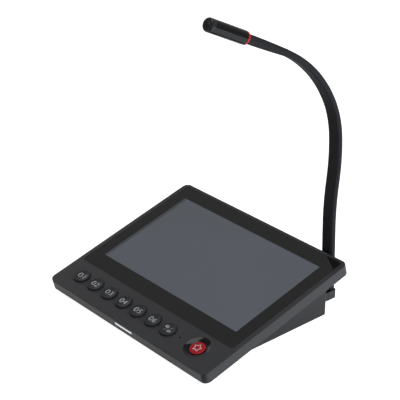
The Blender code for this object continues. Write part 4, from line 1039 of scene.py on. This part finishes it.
# %% The neck's curve
NECK_WIDTH = 0.0160
NECK_THICKNESS = 0.0070
NECK_CORNER = 0.0026
NECK_ARCS = (
    (0.030, 2.5),
    (0.050, -1.2),
    (0.050, -8.4),
    (0.050, 11.3),
    (0.050, 23.7),
    (0.050, 18.2),
    (0.050, 17.0),
    (0.0537, 0.1),
)
NECK_LENGTH = sum(length for length, turn in NECK_ARCS)
NECK_BEHIND_FRONT = 0.21495
NECK_FOOT = Vector((0.0955, DESK_Y + NECK_BEHIND_FRONT, 0.0226))
COLLAR_LENGTH = 0.0640
FIRST_JOINT = 0.0560
JOINT_COUNT = 9
JOINT_STEP = (NECK_LENGTH - COLLAR_LENGTH - FIRST_JOINT) / JOINT_COUNT
SLEEVE_STEP = 0.0022
COLLAR_STEP = 0.0016
BEND_SHARE = 0.42


def neck_station(along):
    """The point this far along the neck, and how far the neck leans forward there."""
    spot = NECK_FOOT.copy()
    heading = 0.0
    left = along
    for index, (length, turn) in enumerate(NECK_ARCS):
        run = left if index == len(NECK_ARCS) - 1 else min(left, length)
        bend = math.radians(turn) * run / length
        chord = run if not bend else 2 * run / bend * math.sin(bend / 2)
        middle = heading + bend / 2
        spot += Vector((0, -math.sin(middle), math.cos(middle))) * chord
        heading += bend
        left -= run
        if left <= 0:
            break
    return spot, heading


def station_matrix(along):
    """A frame this far along the neck, with Z along it."""
    spot, heading = neck_station(along)
    return Matrix.Translation(spot) @ Matrix.Rotation(heading, 4, "X")


end_spot, end_heading = neck_station(NECK_LENGTH)
print("neck ends at", [round(v, 4) for v in end_spot])
print("and leans forward by", round(math.degrees(end_heading)), "degrees")

# %% Draw the sleeve


def section_face(bm):
    """The flat section of the neck as one face, from the top of a rounded block."""
    outline = block(NECK_WIDTH, NECK_THICKNESS, -NECK_WIDTH, 0.0, NECK_CORNER, segments=6)
    top = max(outline.faces, key=lambda f: f.calc_center_median().z)
    points = [bm.verts.new(v.co) for v in top.verts]
    outline.free()
    return bm.faces.new(points)


def swept(start, end, step=SLEEVE_STEP, outline_at=None):
    """The section drawn along the neck. outline_at may change its shape on the way."""
    bm = bmesh.new()
    face = section_face(bm)
    flat = [v.co.copy() for v in face.verts]
    count = max(1, round((end - start) / step))
    for i in range(count + 1):
        if i == 1:
            # A copy of the first face stays behind and closes the start.
            bmesh.ops.duplicate(bm, geom=[face])
        if i:
            drawn = bmesh.ops.extrude_face_region(bm, geom=[face])
            old = face
            face = next(item for item in drawn["geom"] if isinstance(item, bmesh.types.BMFace))
            if old.is_valid:
                bm.faces.remove(old)
        matrix = station_matrix(start + (end - start) * i / count)
        for vert, local in zip(face.verts, flat):
            shaped = outline_at(local, i / count) if outline_at else local
            vert.co = matrix @ shaped
    bmesh.ops.remove_doubles(bm, verts=bm.verts, dist=MERGE_DISTANCE)
    bmesh.ops.recalc_face_normals(bm, faces=bm.faces)
    return bm


joints = [FIRST_JOINT + i * JOINT_STEP for i in range(JOINT_COUNT)]
stops = [0.0] + [j + JOINT_STEP / 2 for j in joints[:-1]] + [NECK_LENGTH - COLLAR_LENGTH]
for number, joint in enumerate(joints, start=1):
    sleeve = swept(stops[number - 1], stops[number])
    hidden = [f"neck_link_{number}"] + (["neck_foot"] if number == 1 else [])
    name = f"neck_sleeve_{number}"
    piece = finish_piece(name, sleeve, None, neck_rubber, replaces=hidden)
    before = neck_station(joint - JOINT_STEP * BEND_SHARE)[0]
    after = neck_station(joint + JOINT_STEP * BEND_SHARE)[0]
    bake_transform(piece)
print("sleeve lengths:", len(joints))

# %% [markdown]
# ## Microphone head
# The sleeve's last length is a stiff collar that grows from the flat section to a round one.
# Then come a red ring that lights while one speaks, a barrel of fine black mesh, and a cap
# with a gauze-covered mouth in front of the capsule. All but the collar are turned shapes.

# %% Collar
HEAD = Matrix.Translation(end_spot) @ Matrix.Rotation(end_heading, 4, "X")
COLLAR_END_RADIUS = 0.0061
RING_RADIUS = 0.0069
RING_LENGTH = 0.0021
BARREL_RADIUS = 0.0071
BARREL_LENGTH = 0.0455
CAP_LENGTH = 0.0058


def towards_round(local, share):
    """Moves a point of the flat section towards a circle, more and more slowly."""
    angle = math.atan2(local.y / NECK_THICKNESS, local.x / NECK_WIDTH)
    circle = COLLAR_END_RADIUS * Vector((math.cos(angle), math.sin(angle), 0))
    return local.lerp(circle, math.sin(share * math.pi / 2))


collar = swept(NECK_LENGTH - COLLAR_LENGTH, NECK_LENGTH, COLLAR_STEP, towards_round)
finish_piece(
    "collar_sleeve",
    collar,
    "microphone_head",
    neck_rubber,
    replaces=["head_collar"],
    angle=50,
)

# %% Ring
BORE_RADIUS = 0.0039
RING_EDGE = 0.0003
RING_GLOW = 0.03
RING_CLOUDS_PER_METRE = 400.0


def ring_plastic():
    """A red light guide: glossy, and a little brighter than the light that falls on it."""
    material, shader = new_material("red_light_guide", 0.25, IOR=1.49)
    cloud = noise(material, object_place(material), RING_CLOUDS_PER_METRE)
    tint = mixed(material, cloud, colour("#b81a20"), colour("#c82228"))
    connect(material, tint, shader.inputs["Base Color"])
    shader.inputs["Emission Color"].default_value = colour("#ff4038")
    shader.inputs["Emission Strength"].default_value = RING_GLOW
    return material


edge_middle = RING_RADIUS - RING_EDGE
ring_profile = [(BORE_RADIUS, RING_LENGTH)]
ring_profile += arc(edge_middle, RING_LENGTH - RING_EDGE, RING_EDGE, 90, 0, 3)
ring_profile += arc(edge_middle, RING_EDGE, RING_EDGE, 0, -90, 3)
ring_profile += [(BORE_RADIUS, 0.0), (BORE_RADIUS, RING_LENGTH)]
ring = turned(ring_profile)
finish_piece(
    "ring_light", ring, "microphone_head", ring_plastic(), HEAD, ["light_ring"]
)

# %% [markdown]
# ## Mesh barrel
# The barrel is woven from fine steel wire and painted glossy black: thicker wires run along
# it, and thinner ones cross them. Modelling hundreds of wires would weigh down every copy of
# the part, so the pattern is drawn by the material. It follows a UV map that unrolls the
# tube, with real metres round it and along it.

# %% Barrel
WIRES_ROUND = 24
CROSS_PITCH = 0.0009
CROSS_SHARE = 0.05
WIRE_HEIGHT = 0.0001
BARREL_WALL = 0.0010
BARREL_FRONT_EDGE = 0.0002
BARREL_REAR_EDGE = 0.0004
BARREL_REAR_WALL = 0.0015


def tube_map(bm, radius):
    """A UV map in metres: round the tube and along it."""
    layer = bm.loops.layers.uv.new("round_and_along")
    for face in bm.faces:
        middle = face.calc_center_median()
        facing = math.atan2(middle.y, middle.x)
        for loop in face.loops:
            angle = math.atan2(loop.vert.co.y, loop.vert.co.x)
            while angle - facing > math.pi:
                angle -= 2 * math.pi
            while angle - facing < -math.pi:
                angle += 2 * math.pi
            loop[layer].uv = (angle * radius, loop.vert.co.z)


def waves(material, place, pitch):
    """A wave of this pitch, from 0 in the valleys to 1 on the crests."""
    turns = calculated(material, "MULTIPLY", place, 2 * math.pi / pitch)
    return ranged(material, calculated(material, "COSINE", turns), -1.0, 1.0)


def mesh_steel():
    """Painted wire mesh: glossy wires that together reflect one broad, soft band of light."""
    material, shader = new_material("painted_wire_mesh", 0.14, IOR=1.5)
    place = add_node(material, "ShaderNodeUVMap", uv_map="round_and_along").outputs["UV"]
    parts = split(material, place)
    lengthwise = waves(material, parts["X"], 2 * math.pi * BARREL_RADIUS / WIRES_ROUND)
    crosswise = waves(material, parts["Y"], CROSS_PITCH)
    woven = calculated(material, "MULTIPLY_ADD", crosswise, CROSS_SHARE, lengthwise)
    tint = mixed(material, lengthwise, colour("#080809"), colour("#0f0f10"))
    connect(material, tint, shader.inputs["Base Color"])
    bump = add_node(
        material, "ShaderNodeBump", {"Height": woven, "Strength": 0.6, "Distance": WIRE_HEIGHT}
    )
    connect(material, bump.outputs["Normal"], shader.inputs["Normal"])
    return material


barrel_low = RING_LENGTH + GAP
barrel_top = barrel_low + BARREL_LENGTH
barrel_inner = BARREL_RADIUS - BARREL_WALL
barrel_profile = [
    (barrel_inner, barrel_top),
    (BARREL_RADIUS - BARREL_FRONT_EDGE, barrel_top),
    (BARREL_RADIUS, barrel_top - BARREL_FRONT_EDGE),
    (BARREL_RADIUS, barrel_low + BARREL_REAR_EDGE),
    (BARREL_RADIUS - BARREL_REAR_EDGE, barrel_low),
    (BORE_RADIUS, barrel_low),
    (BORE_RADIUS, barrel_low + BARREL_REAR_WALL),
    (barrel_inner, barrel_low + BARREL_REAR_WALL),
    (barrel_inner, barrel_top),
]
barrel = turned(barrel_profile, steps=96)
tube_map(barrel, BARREL_RADIUS)
finish_piece(
    "mesh_barrel", barrel, "microphone_head", mesh_steel(), HEAD, ["head_barrel"]
)

# %% Front cap
CAP_EDGE = 0.0022
CAP_MOUTH = 0.0033
CAP_PLUG = 0.0010
MOUTH_LIP = 0.0006
GROOVE = 0.0003
cap_low = barrel_top + GAP
cap_high = cap_low + CAP_LENGTH
gauze = cap_high - MOUTH_LIP
plug_radius = barrel_inner - GAP
cap_profile = [
    (0.0, gauze),
    (CAP_MOUTH / 2, gauze),
    (CAP_MOUTH / 2 + GROOVE, gauze - GROOVE),
    (CAP_MOUTH - GROOVE, gauze),
]
cap_profile += arc(CAP_MOUTH + MOUTH_LIP, gauze, MOUTH_LIP, 180, 90, 5)
cap_profile += arc(BARREL_RADIUS - CAP_EDGE, cap_high - CAP_EDGE, CAP_EDGE, 90, 0, 7)
cap_profile += [
    (BARREL_RADIUS, cap_low),
    (plug_radius, cap_low),
    (plug_radius, cap_low - CAP_PLUG),
    (0.0, cap_low - CAP_PLUG),
]
# Glossy ABS: a small pale patch where the cap's rounded edge mirrors the high soft box.
cap_plastic = grained("glossy_cap_abs", "#222224", 0.20, 0.3, 0.05, IOR=1.5)
front_cap = turned(cap_profile, steps=72)
finish_piece(
    "cap_with_mouth", front_cap, "microphone_head", cap_plastic, HEAD, ["head_cap"]
)

# %% [markdown]
# ## Case, bracket and feet
# The wedge under the panel, the bracket behind it and the small parts inside keep the shapes
# of the solid model and get their finishes here.

# %% Finishes of the other nodes
TOP_SHADE_THICKNESS = 0.0004
TOP_SHADE_BLUR = 0.0001


def bracket_abs():
    """The case's plastic, with its top painted near-black and matt: painted shade under the panel,
    round the foot of the neck.
    """
    material = grained("bracket_abs", "#29292b", 0.42, 0.45, 0.15, IOR=1.5)
    shader = material.node_tree.nodes["Principled BSDF"]
    plain_base = shader.inputs["Base Color"].links[0].from_socket
    plain_rough = shader.inputs["Roughness"].links[0].from_socket
    height = split(material, object_place(material))["Z"]
    # Painted shade: a thin layer at the bracket's top, in the panel's shade, is painted near-black
    # and matt.
    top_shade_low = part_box("neck_bracket")[1][2] - TOP_SHADE_THICKNESS
    painted_top_shade = ranged(material, height, top_shade_low, top_shade_low + TOP_SHADE_BLUR)
    base = mixed(material, painted_top_shade, plain_base, colour("#08080a"))
    connect(material, base, shader.inputs["Base Color"])
    rough = ranged(material, painted_top_shade, 0.0, 1.0, plain_rough, 0.9)
    connect(material, rough, shader.inputs["Roughness"])
    return material


dress(case_abs, "lower_case")
dress(bracket_abs(), "neck_bracket")
dress(foot_rubber, "foot_1", "foot_2", "foot_3", "foot_4", "neck_lead")
dress(zinc_steel, "display_tray", "shield_can", "network_jack")
dress(zinc_steel, *[f"case_screw_{i}" for i in range(1, 5)])
dress(zinc_steel, "board_screw_1", "board_screw_2", "bracket_screw_1", "bracket_screw_2")
dress(board_green, "key_board", "main_board")
dress(socket_abs, *[f"key_switch_{i}" for i in range(1, 7)], "talk_switch", "emergency_switch")
dress(socket_abs, "power_jack", "line_jack", "display_screen")
dress(natural_nylon, "neck_connector")
dress(can_aluminium, "panel_microphone", "head_capsule")
dress(paper_black, "speaker")
